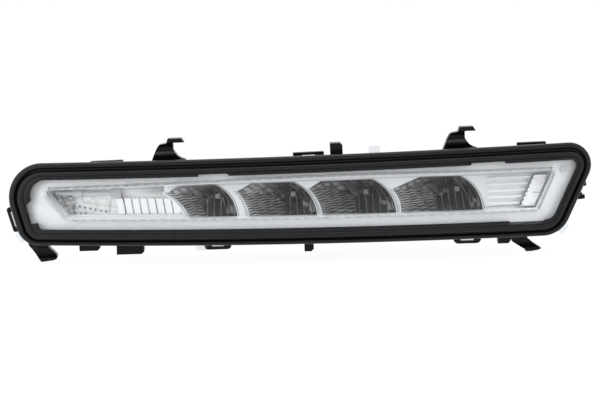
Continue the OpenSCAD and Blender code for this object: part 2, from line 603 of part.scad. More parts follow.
// ---- board, chips and heat sink ----
sink_back = cup_back + board_t + pad_t + sink_t;
ends = [for (x = strip) along(x)];
module strip_plate(y0, y1, h) difference() {
    translate([ends[0], y0, -h / 2]) cube([ends[1] - ends[0], y1 - y0, h]);
    for (p = sink_screws) at(p) along_y(screw_r + 0.25, y0 - 1, y1 + 1);
}
module led_board() color("#e9ece6") strip_plate(cup_back, cup_back + board_t, strip_h);
module thermal_pad() color("#8fa3b3") strip_plate(cup_back + board_t, cup_back + board_t + pad_t, strip_h - 1);
module heat_sink() color("#b9bcc0") {
    strip_plate(cup_back + board_t + pad_t, sink_back, strip_h + 2);
    for (x = [ends[0] + 3 : fin_pitch : ends[1] - 3]) if (min([for (p = sink_screws) abs(x - p[0])]) > boss_r + 1)
        translate([x - fin_t / 2, sink_back - 0.1, -strip_h / 2]) cube([fin_t, sink_fin + 0.1, strip_h]);
}
module chip(x) translate([x, cup_back, 0]) rotate([90, 0, 0]) {
    color("#f3f3ee") translate([-chip_w / 2, -chip_w / 2, 0]) cube([chip_w, chip_w, 0.9]);
    color("#f2d24a") cylinder(r = chip_w * 0.4, h = 1.5);
}
module screw(r, len, head_r, head_h) {
    translate([0, 0, -0.1]) cylinder(r = r, h = len + 0.1);
    translate([0, 0, -head_h]) difference() {
        cylinder(r = head_r, h = head_h);
        for (a = [0, 90]) rotate(a) translate([-head_r * 0.6, -0.4, -0.1]) cube([head_r * 1.2, 0.8, head_h * 0.6]);
    }
}
module board_screw(p) color("#9a9ea3") translate([p[0], cup_back, p[1]]) rotate([-90, 0, 0])
    screw(screw_r - 0.05, 12, 2.6, 1.8);

// ---- left bay ----
rod_ends = [for (x = rod_x) along(x)];
module tray_shape(t) intersection() {
    polygon(opening(border_w + 0.3 + t));
    translate([-t, 0]) bay_mask();
}
module side_reflector() color("#c9ccd0") union() {
    layer(bank_depth, bank_depth + tray_t) intersection() {
        difference() {
            polygon(opening(0.5));
            tray_shape(0.2);
        }
        translate([-260, -60]) square([260 + bay_mask_min - 0.2, 120]);
    }
    layer(bank_depth, tray_depth + tray_t) difference() {
        tray_shape(0);
        tray_shape(tray_t);
    }
    layer(tray_depth, tray_depth + tray_t) tray_shape(0.1);
    // slanted fluted panel
    layer(deck_depth + 3, tray_depth + 0.1) intersection() {
        tray_shape(tray_t / 2);
        for (k = [0:panel_flutes - 1]) let (x0 = along(panel[0]), w = (along(panel[1]) - x0) / panel_flutes, x = x0 + k * w)
            polygon([[x, panel[2]], [x + w * 0.8, panel[2]], [x + w * 0.8 - 1.6, panel[3]], [x - 1.6, panel[3]]]);
    }
}
// Places children on the rod's axis, their Z along it from the rod's left end
module on_rod() let (y0 = front(rod_ends[0]) + rod_depth, y1 = front(rod_ends[1]) + rod_depth)
    translate([rod_ends[0], y0, rod_z]) rotate([0, 90, atan2(y1 - y0, rod_ends[1] - rod_ends[0])]) children();
rod_l = norm([rod_ends[1] - rod_ends[0], front(rod_ends[1]) - front(rod_ends[0])]);
module light_guide() color("#eef2f4", 0.6) on_rod() {
    cylinder(r = rod_r, h = rod_l);
    translate([0, 0, collar[0]]) cylinder(r = rod_r + collar[2], h = collar[1]);
}
module guide_clip() color("#a4a8ad") difference() {
    layer(deck_depth + 1, tray_depth) translate([along(clip[0]), clip[2]])
        square([along(clip[1]) - along(clip[0]), clip[3] - clip[2]]);
    on_rod() cylinder(r = rod_r + fit, h = rod_l + 0.3);
}
module optic_shape(z0, z1, t = 0) let (w = frame_sides[3], a = border_w + optic_in + t, b = border_w + optic_in + optic_w - t)
    polygon([[line_x(w, b, z0), z0], [line_x(w, a, z0), z0], [line_x(w, a, z1), z1], [line_x(w, b, z1), z1]]);
module end_optic() color("#dfe6ea", 0.5) {
    layer(deck_depth - 1.2, deck_depth) optic_shape(-10, 12);
    for (z = optic_blocks) layer(deck_depth - 4, deck_depth - 1) optic_shape(z[0], z[1], 0.3);
}

// ---- driver, cover and plug ----
board_y = bay_y - driver_room;
module frame_shape(x0, x1, z0, z1, r) for (x = [x0 + r, x1 - r], z = [z0 + r, z1 - r]) {
    translate([x, z]) circle(r);
    translate([x0 + r, z0]) square([x1 - x0 - 2 * r, z1 - z0]);
    translate([x0, z0 + r]) square([x1 - x0, z1 - z0 - 2 * r]);
}
cover = [door[0] - 9, door[1] + 9, door[2] - 3, door[3] + 3];
module cover_seal() color("#2a2a2c") prism(bay_y, bay_y + gasket_t) difference() {
    frame_shape(door[0] - gasket_w, door[1] + gasket_w, door[2] - gasket_w, door[3] + gasket_w, 1);
    translate([door[0], door[2]]) square([door[1] - door[0], door[3] - door[2]]);
}
module driver_cover() color("#2b2d31") difference() {
    union() {
        prism(bay_y + gasket_t, bay_y + gasket_t + cover_t) frame_shape(cover[0], cover[1], cover[2], cover[3], 4);
        for (p = cover_screws_at) at(p) along_y(boss_r - 0.1, bay_y, bay_y + gasket_t + cover_t);
        for (x = [door[0] + 8 : 14 : door[1] - 6]) translate([x, bay_y + gasket_t + cover_t - 0.1, door[2]])
            cube([1.6, 2.6, door[3] - door[2]]);
        for (x = [door[0] + 6, door[1] - 6]) translate([x - 2, board_y + board_t, -6]) cube([4, bay_y + gasket_t - board_y - board_t + 0.1, 10]);
    }
    for (p = cover_screws_at) at(p) along_y(screw_r + 0.25, bay_y - 1, bay_y + 6);
}
module driver_board() color("#2f6b46") translate([door[0] + 2, board_y, -10.5]) cube([door[1] - door[0] - 4, board_t, 19]);
module coil() color("#3a3a3e") at([along(8), -1]) along_y(5, board_y - 5.4, board_y);
module driver_chip() color("#26262a") translate([along(22), board_y - 1.4, -5]) cube([10, 1.4, 8]);
module capacitor() color("#b8b8ba") at([along(44), 0]) along_y(3.2, board_y - 5, board_y);
module cover_screw(p) color("#9a9ea3") translate([p[0], bay_y + gasket_t + cover_t, p[1]]) rotate([90, 0, 0])
    screw(screw_r - 0.05, 10, 2.8, 1.9);
module bezel_screw(p) color("#9a9ea3") on_bow(p, land_depth - bezel_t) rotate([-90, 0, 0])
    screw(screw_r - 0.05, 9, 2.2, 1.1);

module connector_shell() color("#26272b") translate([plug_at[0], 0, plug_at[1]]) difference() {
    union() {
        prism(bay_y, bay_y + plug_l) frame_shape(-12, 12, -8, 8, 4);
        prism(bay_y - floor_t, bay_y + 0.1) square([socket_hole[0] - 0.2, socket_hole[1] - 0.2], center = true);
    }
    prism(bay_y + 2, bay_y + plug_l + 1) frame_shape(-10.2, 10.2, -6.2, 6.2, 2.6);
    for (k = [0:pins - 1]) translate([(k - (pins - 1) / 2) * pin_pitch - 0.4, bay_y - 10, -0.4]) cube([0.8, 20, 0.8]);
}
module contact_pin(k) color("#c9b26a") translate([plug_at[0] + (k - (pins - 1) / 2) * pin_pitch - 0.4, bay_y - 8, plug_at[1] - 0.4])
    cube([0.8, 20, 0.8]);
module vent_cap() color("#3a3b3f") at(vent_at) difference() {
    union() {
        along_y(6, bay_y, bay_y + 3);
        along_y(2.95, bay_y - floor_t, bay_y + 0.1);
    }
    along_y(1.2, bay_y - 10, bay_y + 2);
}

housing();
lens();
edge_seal();
sealant_bead();
bezel();
reflector_bank();
side_reflector();
light_guide();
guide_clip();
end_optic();
led_board();
thermal_pad();
heat_sink();
driver_board();
coil();
driver_chip();
capacitor();
driver_cover();
cover_seal();
connector_shell();
vent_cap();
chip(cup_x[0]);  // led_1
chip(cup_x[1]);  // led_2
chip(cup_x[2]);  // led_3
chip(cup_x[3]);  // led_4
board_screw(sink_screws[0]);  // board_screw_1
board_screw(sink_screws[1]);  // board_screw_2
board_screw(sink_screws[2]);  // board_screw_3
board_screw(sink_screws[3]);  // board_screw_4
bezel_screw(bezel_screws_at[0]);  // bezel_screw_1
bezel_screw(bezel_screws_at[1]);  // bezel_screw_2
cover_screw(cover_screws_at[0]);  // cover_screw_1
cover_screw(cover_screws_at[1]);  // cover_screw_2
cover_screw(cover_screws_at[2]);  // cover_screw_3
cover_screw(cover_screws_at[3]);  // cover_screw_4
contact_pin(0);  // contact_pin_1
contact_pin(1);  // contact_pin_2
contact_pin(2);  // contact_pin_3
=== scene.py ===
"""A daytime running light for a car's front bumper, dressed over its CAD frame."""
import math

import bmesh
import bpy
import numpy as np
from mathutils import Matrix, Vector


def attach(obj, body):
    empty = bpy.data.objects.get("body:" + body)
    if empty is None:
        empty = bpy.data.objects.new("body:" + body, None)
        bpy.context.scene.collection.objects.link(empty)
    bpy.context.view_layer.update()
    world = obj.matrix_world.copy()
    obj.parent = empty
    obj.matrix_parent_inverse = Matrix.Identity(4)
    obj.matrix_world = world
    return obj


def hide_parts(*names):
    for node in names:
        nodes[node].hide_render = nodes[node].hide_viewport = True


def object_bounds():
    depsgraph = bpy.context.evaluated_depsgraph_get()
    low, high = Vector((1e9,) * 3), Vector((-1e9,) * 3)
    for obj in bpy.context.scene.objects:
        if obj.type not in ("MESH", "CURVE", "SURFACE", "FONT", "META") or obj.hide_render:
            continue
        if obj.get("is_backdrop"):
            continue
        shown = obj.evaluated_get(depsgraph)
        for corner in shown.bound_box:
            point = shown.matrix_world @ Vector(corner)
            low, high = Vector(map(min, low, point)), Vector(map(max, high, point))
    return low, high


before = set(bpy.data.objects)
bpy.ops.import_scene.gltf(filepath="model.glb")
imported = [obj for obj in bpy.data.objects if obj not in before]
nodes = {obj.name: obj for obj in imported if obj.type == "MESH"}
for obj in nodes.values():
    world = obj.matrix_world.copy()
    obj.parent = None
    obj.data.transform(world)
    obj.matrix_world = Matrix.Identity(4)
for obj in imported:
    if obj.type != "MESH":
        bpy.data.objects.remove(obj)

cad_low, cad_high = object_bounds()
scene = bpy.context.scene
MM = 0.001  # every size below is in millimetres, every Blender object in metres


# Studio and camera.
# A pale sheet under the lamp, a soft box over it and one at each end, as for a catalogue
# picture. The camera stands 1.6 m in front, a little above, turned by the lamp's own lean.
PHOTO_SIZE = (597, 400)
MM_PER_PIXEL = 0.68
CAMERA_DISTANCE = 1600
CAMERA_ELEVATION = math.radians(6.8)
CAMERA_ROLL = math.radians(1.75)
AIM = Vector((3.2, 0, 5))
AIM_PIXEL = (301.5, 194.0)
SENSOR = 36

forward = Vector((0, math.cos(CAMERA_ELEVATION), -math.sin(CAMERA_ELEVATION)))
level_up = Vector((0, math.sin(CAMERA_ELEVATION), math.cos(CAMERA_ELEVATION)))
camera_right = Vector((1, 0, 0)) * math.cos(CAMERA_ROLL) - level_up * math.sin(CAMERA_ROLL)
camera_up = Vector((1, 0, 0)) * math.sin(CAMERA_ROLL) + level_up * math.cos(CAMERA_ROLL)
aside = (AIM_PIXEL[0] - PHOTO_SIZE[0] / 2) * MM_PER_PIXEL
above = (PHOTO_SIZE[1] / 2 - AIM_PIXEL[1]) * MM_PER_PIXEL
eye = AIM - forward * CAMERA_DISTANCE - camera_right * aside - camera_up * above

camera_data = bpy.data.cameras.new("camera")
camera_data.sensor_width = SENSOR
camera_data.lens = SENSOR * CAMERA_DISTANCE / MM_PER_PIXEL / PHOTO_SIZE[0]
camera_data.clip_start, camera_data.clip_end = 0.05, 20
camera = bpy.data.objects.new("camera", camera_data)
turn = Matrix((camera_right, camera_up, -forward)).transposed().to_4x4()
camera.matrix_world = Matrix.Translation(eye * MM) @ turn
scene.collection.objects.link(camera)
scene.camera = camera
scene.view_settings.view_transform = "Standard"


def soft_box(name, place, aim, size, power):
    light = bpy.data.lights.new(name, "AREA")
    light.shape, light.size, light.size_y = "RECTANGLE", size[0], size[1]
    light.energy = power
    box = bpy.data.objects.new(name, light)
    box.location = place
    box.rotation_mode = "QUATERNION"
    box.rotation_quaternion = (Vector(aim) - Vector(place)).to_track_quat("-Z", "Y")
    scene.collection.objects.link(box)


soft_box("soft_box_top", (-0.15, -0.35, 1.1), (0, 0, 0), (1.3, 0.7), 8)
soft_box("soft_box_left", (-1.1, -0.55, 0.25), (-0.1, 0, 0), (0.5, 0.9), 3.2)
soft_box("soft_box_right", (1.1, -0.5, 0.3), (0.1, 0, 0), (0.5, 0.9), 3.2)


def new_nodes(tree, *kinds):
    return [tree.nodes.new(kind) for kind in kinds]


def link_chain(tree, *pairs):
    for out, into in pairs:
        tree.links.new(out, into)


def of_any(tree, *outputs):
    """1 where any of the outputs is 1."""
    last = outputs[0]
    for more in outputs[1:]:
        either = tree.nodes.new("ShaderNodeMath")
        either.operation = "MAXIMUM"
        link_chain(tree, (last, either.inputs[0]), (more, either.inputs[1]))
        last = either.outputs[0]
    return last


# The backdrop is white all round for the camera; reflections see it too, and see the dark
# end of the room, where the camera stands, in front of the lamp.
ROOM_SHADE, DARK_END = 0.90, 0.60
world = bpy.data.worlds.new("studio")
world.use_nodes = True
scene.world = world
sky = world.node_tree
sky.nodes.clear()
sky_out, sky_mix, sky_seen = new_nodes(sky, "ShaderNodeOutputWorld", "ShaderNodeMixShader",
                                       "ShaderNodeMixShader")
sky_room, sky_white, sky_mirror = new_nodes(sky, *["ShaderNodeBackground"] * 3)
for node, colour, strength in ((sky_room, (0.94, 0.97, 1.0, 1), ROOM_SHADE),
                               (sky_white, (1, 1, 1, 1), 1), (sky_mirror, (1, 1, 1, 1), 1)):
    node.inputs["Color"].default_value, node.inputs["Strength"].default_value = colour, strength
sky_path, sky_where, sky_split, sky_fall = new_nodes(sky, "ShaderNodeLightPath", "ShaderNodeTexCoord",
                                                     "ShaderNodeSeparateXYZ", "ShaderNodeMapRange")
sky_fall.inputs["From Min"].default_value, sky_fall.inputs["From Max"].default_value = -0.75, -0.05
sky_fall.inputs["To Min"].default_value = DARK_END
link_chain(sky, (sky_where.outputs["Generated"], sky_split.inputs[0]),
           (sky_split.outputs["Y"], sky_fall.inputs["Value"]),
           (sky_fall.outputs["Result"], sky_mirror.inputs["Strength"]),
           (of_any(sky, sky_path.outputs["Is Glossy Ray"], sky_path.outputs["Is Transmission Ray"]),
            sky_mix.inputs["Fac"]),
           (sky_room.outputs[0], sky_mix.inputs[1]), (sky_mirror.outputs[0], sky_mix.inputs[2]),
           (sky_path.outputs["Is Camera Ray"], sky_seen.inputs["Fac"]),
           (sky_mix.outputs[0], sky_seen.inputs[1]),
           (sky_white.outputs[0], sky_seen.inputs[2]), (sky_seen.outputs[0], sky_out.inputs["Surface"]))

FLOOR_DROP, PAPER_GLOW, PAPER_WHITE = 0.0006, 0.9, 1.06
bpy.ops.mesh.primitive_plane_add(size=8, location=(0, 0, cad_low.z - FLOOR_DROP))
floor = bpy.context.object
floor.name = "floor"
floor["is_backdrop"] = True
floor_finish = bpy.data.materials.new("floor_paper")
floor_finish.use_nodes = True
paper = floor_finish.node_tree
paper.nodes.clear()
paper_out, paper_mix, paper_glow, paper_matt = new_nodes(
    paper, "ShaderNodeOutputMaterial", "ShaderNodeMixShader", "ShaderNodeEmission", "ShaderNodeBsdfDiffuse")
paper_matt.inputs["Color"].default_value = (0.86, 0.86, 0.86, 1)
paper_glow.inputs["Strength"].default_value = PAPER_WHITE
paper_path, paper_share = new_nodes(paper, "ShaderNodeLightPath", "ShaderNodeMath")
paper_share.operation = "MULTIPLY"
paper_share.inputs[1].default_value = PAPER_GLOW
link_chain(paper, (of_any(paper, paper_path.outputs["Is Camera Ray"], paper_path.outputs["Is Glossy Ray"],
                          paper_path.outputs["Is Transmission Ray"]), paper_share.inputs[0]),
           (paper_share.outputs[0], paper_mix.inputs["Fac"]), (paper_matt.outputs[0], paper_mix.inputs[1]),
           (paper_glow.outputs[0], paper_mix.inputs[2]),
           (paper_mix.outputs[0], paper_out.inputs["Surface"]))
floor.data.materials.append(floor_finish)


# Housing.
# One injection moulding in black glass-filled plastic: body, channel for the lens, hook
# towers, tongues and straps. Its skin has the fine grain of an eroded tool.
def new_finish(name):
    finish = bpy.data.materials.new(name)
    finish.use_nodes = True
    tree = finish.node_tree
    return finish, tree, tree.nodes["Principled BSDF"]


def set_values(node, **values):
    for name, value in values.items():
        socket = node.inputs[name.replace("_", " ")]
        socket.default_value = (*value, 1) if isinstance(value, tuple) and len(value) == 3 else value


def build_moulded_skin():
    """Group: two close shades in cloudy patches, a fine grain, and a roughness that varies with both."""
    group = bpy.data.node_groups.new("moulded_skin", "ShaderNodeTree")
    face = group.interface
    for name, kind in (("Vector", "NodeSocketVector"), ("Shade", "NodeSocketColor"),
                       ("Other Shade", "NodeSocketColor"), ("Patch Scale", "NodeSocketFloat"),
                       ("Grain Scale", "NodeSocketFloat"),
                       ("Low Roughness", "NodeSocketFloat"), ("High Roughness", "NodeSocketFloat")):
        face.new_socket(name=name, in_out="INPUT", socket_type=kind)
    for name, kind in (("Color", "NodeSocketColor"), ("Roughness", "NodeSocketFloat"),
                       ("Height", "NodeSocketFloat")):
        face.new_socket(name=name, in_out="OUTPUT", socket_type=kind)
    l = group.links
    given, made, patch, grain = new_nodes(group, "NodeGroupInput", "NodeGroupOutput",
                                          "ShaderNodeTexNoise", "ShaderNodeTexNoise")
    patch.inputs["Detail"].default_value, grain.inputs["Detail"].default_value = 4, 3
    shade, blend, rough = new_nodes(group, "ShaderNodeMix", "ShaderNodeMath", "ShaderNodeMapRange")
    shade.data_type = "RGBA"
    blend.operation = "MULTIPLY_ADD"
    blend.inputs[1].default_value = 0.35
    rough.inputs["From Min"].default_value, rough.inputs["From Max"].default_value = 0.45, 0.9
    for node, scale in ((patch, "Patch Scale"), (grain, "Grain Scale")):
        l.new(given.outputs["Vector"], node.inputs["Vector"])
        l.new(given.outputs[scale], node.inputs["Scale"])
    for maker, out, taker, into in (
            (patch, "Fac", shade, "Factor"), (given, "Shade", shade, "A"),
            (given, "Other Shade", shade, "B"), (grain, "Fac", blend, 0), (patch, "Fac", blend, 2),
            (blend, 0, rough, "Value"),
            (given, "Low Roughness", rough, "To Min"), (given, "High Roughness", rough, "To Max"),
            (shade, "Result", made, "Color"), (rough, "Result", made, "Roughness"),
            (grain, "Fac", made, "Height")):
        l.new(maker.outputs[out], taker.inputs[into])
    return group


moulded_skin = build_moulded_skin()


def wire_skin(tree, bsdf, skin, place, scales, rough, bump):
    """Feeds a material's colour, roughness and bump from its moulded skin."""
    bumped = tree.nodes.new("ShaderNodeBump")
    bumped.inputs["Distance"].default_value = bump
    skin.inputs["Patch Scale"].default_value, skin.inputs["Grain Scale"].default_value = scales
    skin.inputs["Low Roughness"].default_value, skin.inputs["High Roughness"].default_value = rough
    link_chain(tree, (place, skin.inputs["Vector"]), (skin.outputs["Color"], bsdf.inputs["Base Color"]),
               (skin.outputs["Roughness"], bsdf.inputs["Roughness"]),
               (skin.outputs["Height"], bumped.inputs["Height"]),
               (bumped.outputs["Normal"], bsdf.inputs["Normal"]))


def skin_finish(name, shade, other, patch, grain, rough, bump=0.00004, **values):
    """A material whose colour, roughness and bump come from the moulded skin."""
    finish, tree, bsdf = new_finish(name)
    place, skin = new_nodes(tree, "ShaderNodeTexCoord", "ShaderNodeGroup")
    skin.node_tree = moulded_skin
    set_values(skin, Shade=shade, Other_Shade=other)
    wire_skin(tree, bsdf, skin, place.outputs["Object"], (patch, grain), rough, bump)
    set_values(bsdf, **values)
    return finish


def paint(node, finish):
    mesh = nodes[node].data
    mesh.materials.clear()
    mesh.materials.append(finish)


def softened_copy(node, name, finish, radius, sharp):
    """A copy of a CAD node with its edges rounded, as a moulding's are, to stand for it."""
    mesh = nodes[node].data.copy()
    shape = bmesh.new()
    shape.from_mesh(mesh)
    bmesh.ops.remove_doubles(shape, verts=shape.verts, dist=1e-6)
    bmesh.ops.dissolve_limit(shape, angle_limit=math.radians(0.05), verts=shape.verts, edges=shape.edges)
    shape.to_mesh(mesh)
    shape.free()
    piece = bpy.data.objects.new(name, mesh)
    scene.collection.objects.link(piece)
    rounding = piece.modifiers.new("edges", "BEVEL")
    rounding.width, rounding.segments = radius * MM, 2
    rounding.limit_method, rounding.angle_limit = "ANGLE", math.radians(sharp)
    rounding.use_clamp_overlap = True
    made = bpy.data.meshes.new_from_object(piece.evaluated_get(bpy.context.evaluated_depsgraph_get()))
    piece.modifiers.clear()
    piece.data = made
    made.name = name
    made.materials.clear()
    made.materials.append(finish)
    made.shade_smooth()
    made.set_sharp_from_angle(angle=math.radians(sharp))
    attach(piece, "root")
    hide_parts(node)
    return piece


black_plastic = skin_finish("black_plastic", (0.003, 0.0032, 0.0038), (0.006, 0.0065, 0.0075),
                            35, 1600, (0.16, 0.28), 0.00004, Specular_IOR_Level=0.15)
paint("housing", black_plastic)


# Cover, seal, plug and vent at the back.
# The driver board goes in through a hatch, closed by a ribbed cover on a flat gasket with
# four screws. The plug's shroud and the vent cap are separate mouldings pushed in beside it.
for node, *look in (
        ("driver_cover", "cover_plastic", (0.016, 0.017, 0.019), (0.026, 0.027, 0.030),
         60, 1400, (0.38, 0.55)),
        ("cover_seal", "gasket_rubber", (0.012, 0.012, 0.013), (0.02, 0.02, 0.021), 80, 2500, (0.6, 0.75)),
        ("connector_shell", "plug_plastic", (0.014, 0.014, 0.016), (0.022, 0.023, 0.026),
         70, 1500, (0.28, 0.42)),
        ("vent_cap", "vent_plastic", (0.035, 0.036, 0.04), (0.055, 0.056, 0.06), 90, 1800, (0.4, 0.55))):
    paint(node, skin_finish(*look))


METAL_BUMP = 0.00002


def metal_finish(name, shade, other, rough, stretch, scale):
    """Bare metal whose grain is drawn out along one axis, as rolling, drawing or turning leaves it."""
    finish, tree, bsdf = new_finish(name)
    place, drawn, skin = new_nodes(tree, "ShaderNodeTexCoord", "ShaderNodeMapping", "ShaderNodeGroup")
    skin.node_tree = moulded_skin
    drawn.inputs["Scale"].default_value = stretch
    set_values(skin, Shade=shade, Other_Shade=other)
    tree.links.new(place.outputs["Object"], drawn.inputs["Vector"])
    wire_skin(tree, bsdf, skin, drawn.outputs["Vector"], (scale / 6, scale), rough, METAL_BUMP)
    bsdf.inputs["Metallic"].default_value = 1
    return finish


screw_steel = metal_finish("screw_steel", (0.50, 0.51, 0.53), (0.62, 0.63, 0.66), (0.22, 0.38), (1, 1, 1),
                           1500)
pin_brass = metal_finish("pin_brass", (0.62, 0.47, 0.20), (0.74, 0.60, 0.30), (0.2, 0.32), (4, 1, 4), 900)
for name in nodes:
    if "_screw_" in name:
        paint(name, screw_steel)
    if name.startswith("contact_pin_"):
        paint(name, pin_brass)


# Boards, chips and heat sink.
# Inside: the white board that carries the four lamp chips, its soft pad and finned heat
# sink, and the green driver board with its coil, chip and can.
paint("led_board", skin_finish("white_board", (0.74, 0.75, 0.72), (0.82, 0.83, 0.80), 60, 2200,
                               (0.25, 0.4)))
paint("thermal_pad", skin_finish("thermal_pad", (0.24, 0.32, 0.40), (0.30, 0.38, 0.46), 120, 1500,
                                 (0.7, 0.85)))
paint("heat_sink", metal_finish("aluminium", (0.60, 0.61, 0.62), (0.70, 0.71, 0.72), (0.3, 0.45),
                                (1, 1, 12), 300))
paint("driver_board", skin_finish("green_board", (0.018, 0.12, 0.05), (0.03, 0.18, 0.075), 140, 2600,
                                  (0.3, 0.45)))
paint("coil", skin_finish("ferrite", (0.035, 0.036, 0.04), (0.06, 0.06, 0.066), 200, 2400, (0.5, 0.7)))
paint("driver_chip", skin_finish("chip_epoxy", (0.014, 0.014, 0.016), (0.022, 0.022, 0.025), 220, 3000,
                                 (0.45, 0.6)))
paint("capacitor", metal_finish("can_metal", (0.58, 0.58, 0.6), (0.68, 0.68, 0.7), (0.18, 0.3), (1, 8, 1),
                                500))
phosphor = skin_finish("led_body", (0.44, 0.43, 0.37), (0.52, 0.51, 0.45), 400, 3000, (0.3, 0.45))
for name in nodes:
    if name.startswith("led_") and name != "led_board":
        paint(name, phosphor)
paint("sealant_bead", skin_finish("sealant", (0.66, 0.65, 0.61), (0.76, 0.75, 0.71), 120, 900, (0.45, 0.6),
                                  0.0001))


# Reflector cups.
# Four deep cups vacuum-metallised in chrome. The long left wall of each is cut in
# wavy level flutes, its crown in slanting pillows, its right wall in ledges under thin arcs.
# Their colour, near black with bright lines and patches, is painted reflection and painted
# highlight carried by a tone attribute.
BOW_R, BOW_X = 850, 63
NEAR, TINY = 1e-6, 1e-9


def face(x, depth=0.0):
    """How far back the lens's face lies at x, or the surface at a depth behind it."""
    return BOW_R - np.sqrt((BOW_R - depth) ** 2 - (x - BOW_X) ** 2)


def bend(a, b, bulge, n):
    """Points of a shallow arc from a to b."""
    a, b = np.array(a, float), np.array(b, float)
    along = (b - a) / np.linalg.norm(b - a)
    out = np.array([-along[1], along[0]])
    s = np.linspace(0, 1, n + 1)[:, None]
    return a + (b - a) * s + out * bulge * 4 * s * (1 - s)


def solid_from(name, points, faces, finish, smooth):
    """A piece from points in millimetres; smooth is the angle under which its edges are soft."""
    mesh = bpy.data.meshes.new(name)
    mesh.from_pydata([tuple(p) for p in np.asarray(points, float) * MM], [], faces)
    mesh.materials.append(finish)
    mesh.shade_smooth()
    mesh.set_sharp_from_angle(angle=math.radians(smooth))
    piece = bpy.data.objects.new(name, mesh)
    scene.collection.objects.link(piece)
    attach(piece, "root")
    return piece


def grid_faces(rows, columns):
    """Quads over a grid of rows x columns points."""
    corners = [r * columns + c for r in range(rows - 1) for c in range(columns - 1)]
    return [(a, a + 1, a + columns + 1, a + columns) for a in corners]


def sheet_shell(name, points, rows, columns, finish, wall, smooth):
    """A closed thin shell: a grid seen from the front, the same grid a wall behind it, and its rim."""
    front = np.asarray(points, float)
    back = front.copy()
    back[:, 1] += wall
    count = rows * columns
    seen = grid_faces(rows, columns)
    faces = seen + [tuple(count + i for i in quad[::-1]) for quad in seen]
    rim = ([r * columns for r in range(rows)] + [(rows - 1) * columns + c for c in range(1, columns)]
           + [r * columns + columns - 1 for r in range(rows - 2, -1, -1)] + list(range(columns - 2, 0, -1)))
    for i, a in enumerate(rim):
        b = rim[(i + 1) % len(rim)]
        faces.append((b, a, a + count, b + count))
    return solid_from(name, np.vstack([front, back]), faces, finish, smooth)


CUP_TIP = [(-89.2, 5.2), (-41, 5.8), (8.2, 6.6), (65.6, 5)]
CUP_TOP = [(-81.5, -57, 10.3, 11.2), (-30.7, -2.6, 11.5, 11.7), (16.7, 51.3, 11.9, 12.3),
           (84.5, 111.5, 12.8, 12.7)]
CUP_FOOT = [(-74.4, -41.2), (-33.4, 13.6), (17.3, 68.2), (71.2, 127.6)]
CUP_FOOT_Z = -11.6
CUP_BULGE, CUP_HOLLOW = 4.2, 1.8
CUP_SHIFT = 6
CUP_FRONT = 15.8
CUP_FLOOR = 45.7
CHIP_SEAT = 2.2
CUP_ROWS, CUP_COLUMNS = 104, 200
BOWL_ROUND, BOWL_FLAT = 0.67, 0.33
SHEET_WALL, SHEET_SOFT = 0.3, 25
CUP_DIP = [0.0105, 0.0102, 0.0102, 0.0074]
CUP_LIMIT = [20.5, 33, 33, 31.5]
CUP_FLUTE, PANEL_PITCH, LEDGE_STEP, PILLOW_LEAN, PILLOW_CROSS = 1.65, 4.8, 2.6, 7.25, 4.4
FLUTE_RISE, PANEL_RISE, PILLOW_RISE, ARC_RISE = 0.30, 0.18, 0.42, 0.22
ARC_PLACES, ARC_WIDTH = (1.3, 4.6, 8.1), 0.55


def cup_mouth(i):
    """Left edge, crown, right edge and foot of a cup's mouth, clockwise from its lower left."""
    tip, top, foot = CUP_TIP[i], CUP_TOP[i], CUP_FOOT[i]
    left = bend((foot[0], CUP_FOOT_Z), tip, -CUP_HOLLOW, 24)
    right = bend((top[1], top[3]), (foot[1], CUP_FOOT_Z), CUP_BULGE, 24)
    return np.vstack([left, [(top[0], top[2])], right])


def span_at(outline, z):
    """Where a level line at z enters and leaves a closed outline."""
    a, b = outline, np.roll(outline, -1, axis=0)
    crosses = (a[:, 1] - z) * (b[:, 1] - z) <= 0
    rise = np.where(np.abs(b[:, 1] - a[:, 1]) < TINY, TINY, b[:, 1] - a[:, 1])
    x = (a[:, 0] + (b[:, 0] - a[:, 0]) * np.clip((z - a[:, 1]) / rise, 0, 1))[crosses]
    return x.min(), x.max()


def reach(outline, centre, x, z):
    """Distance from the centre to the outline in the direction of each point."""
    angle = np.arctan2(z - centre[1], x - centre[0])
    a, b = outline - centre, np.roll(outline, -1, axis=0) - centre
    found = np.full(angle.shape, 1e3)
    dx, dz = np.cos(angle), np.sin(angle)
    for p, q in zip(a, b):
        edge = q - p
        cross = dx * edge[1] - dz * edge[0]
        safe = np.where(np.abs(cross) < TINY, TINY, cross)
        far = (p[0] * edge[1] - p[1] * edge[0]) / safe
        share = (p[0] * dz - p[1] * dx) / safe
        hit = (far > 0) & (share >= -NEAR) & (share <= 1 + NEAR) & (np.abs(cross) > TINY)
        found = np.where(hit & (far < found), far, found)
    return found


def ease(v, low, high):
    t = np.clip((v - low) / (high - low), 0, 1)
    return t * t * (3 - 2 * t)


def scallop(v):
    """Row of round ridges with sharp valleys between them, one for each whole number."""
    return np.abs(np.sin(np.pi * v))


def stripe(v, pitch, width):
    """1 on thin lines at every pitch, 0 between them."""
    gap = np.abs((v / pitch + 0.5) % 1 - 0.5) * pitch
    return ease(gap, width / 2 + 0.15, width / 2 - 0.1)


def line_at(v, place, width):
    return ease(np.abs(v - place), width / 2 + 0.2, width / 2 - 0.1)


def cloud(x, z, size, seed):
    """Smooth random patches of a size, 0 to 1."""
    u, v = x / size + seed * 17.3, z / size + seed * 9.1
    a, b = np.floor(u), np.floor(v)
    f, g = ease(u - a, 0, 1), ease(v - b, 0, 1)

    def spot(p, q):
        return np.modf(np.abs(np.sin(p * 12.9898 + q * 78.233) * 43758.5453))[0]

    return ((spot(a, b) * (1 - f) + spot(a + 1, b) * f) * (1 - g)
            + (spot(a, b + 1) * (1 - f) + spot(a + 1, b + 1) * f) * g)


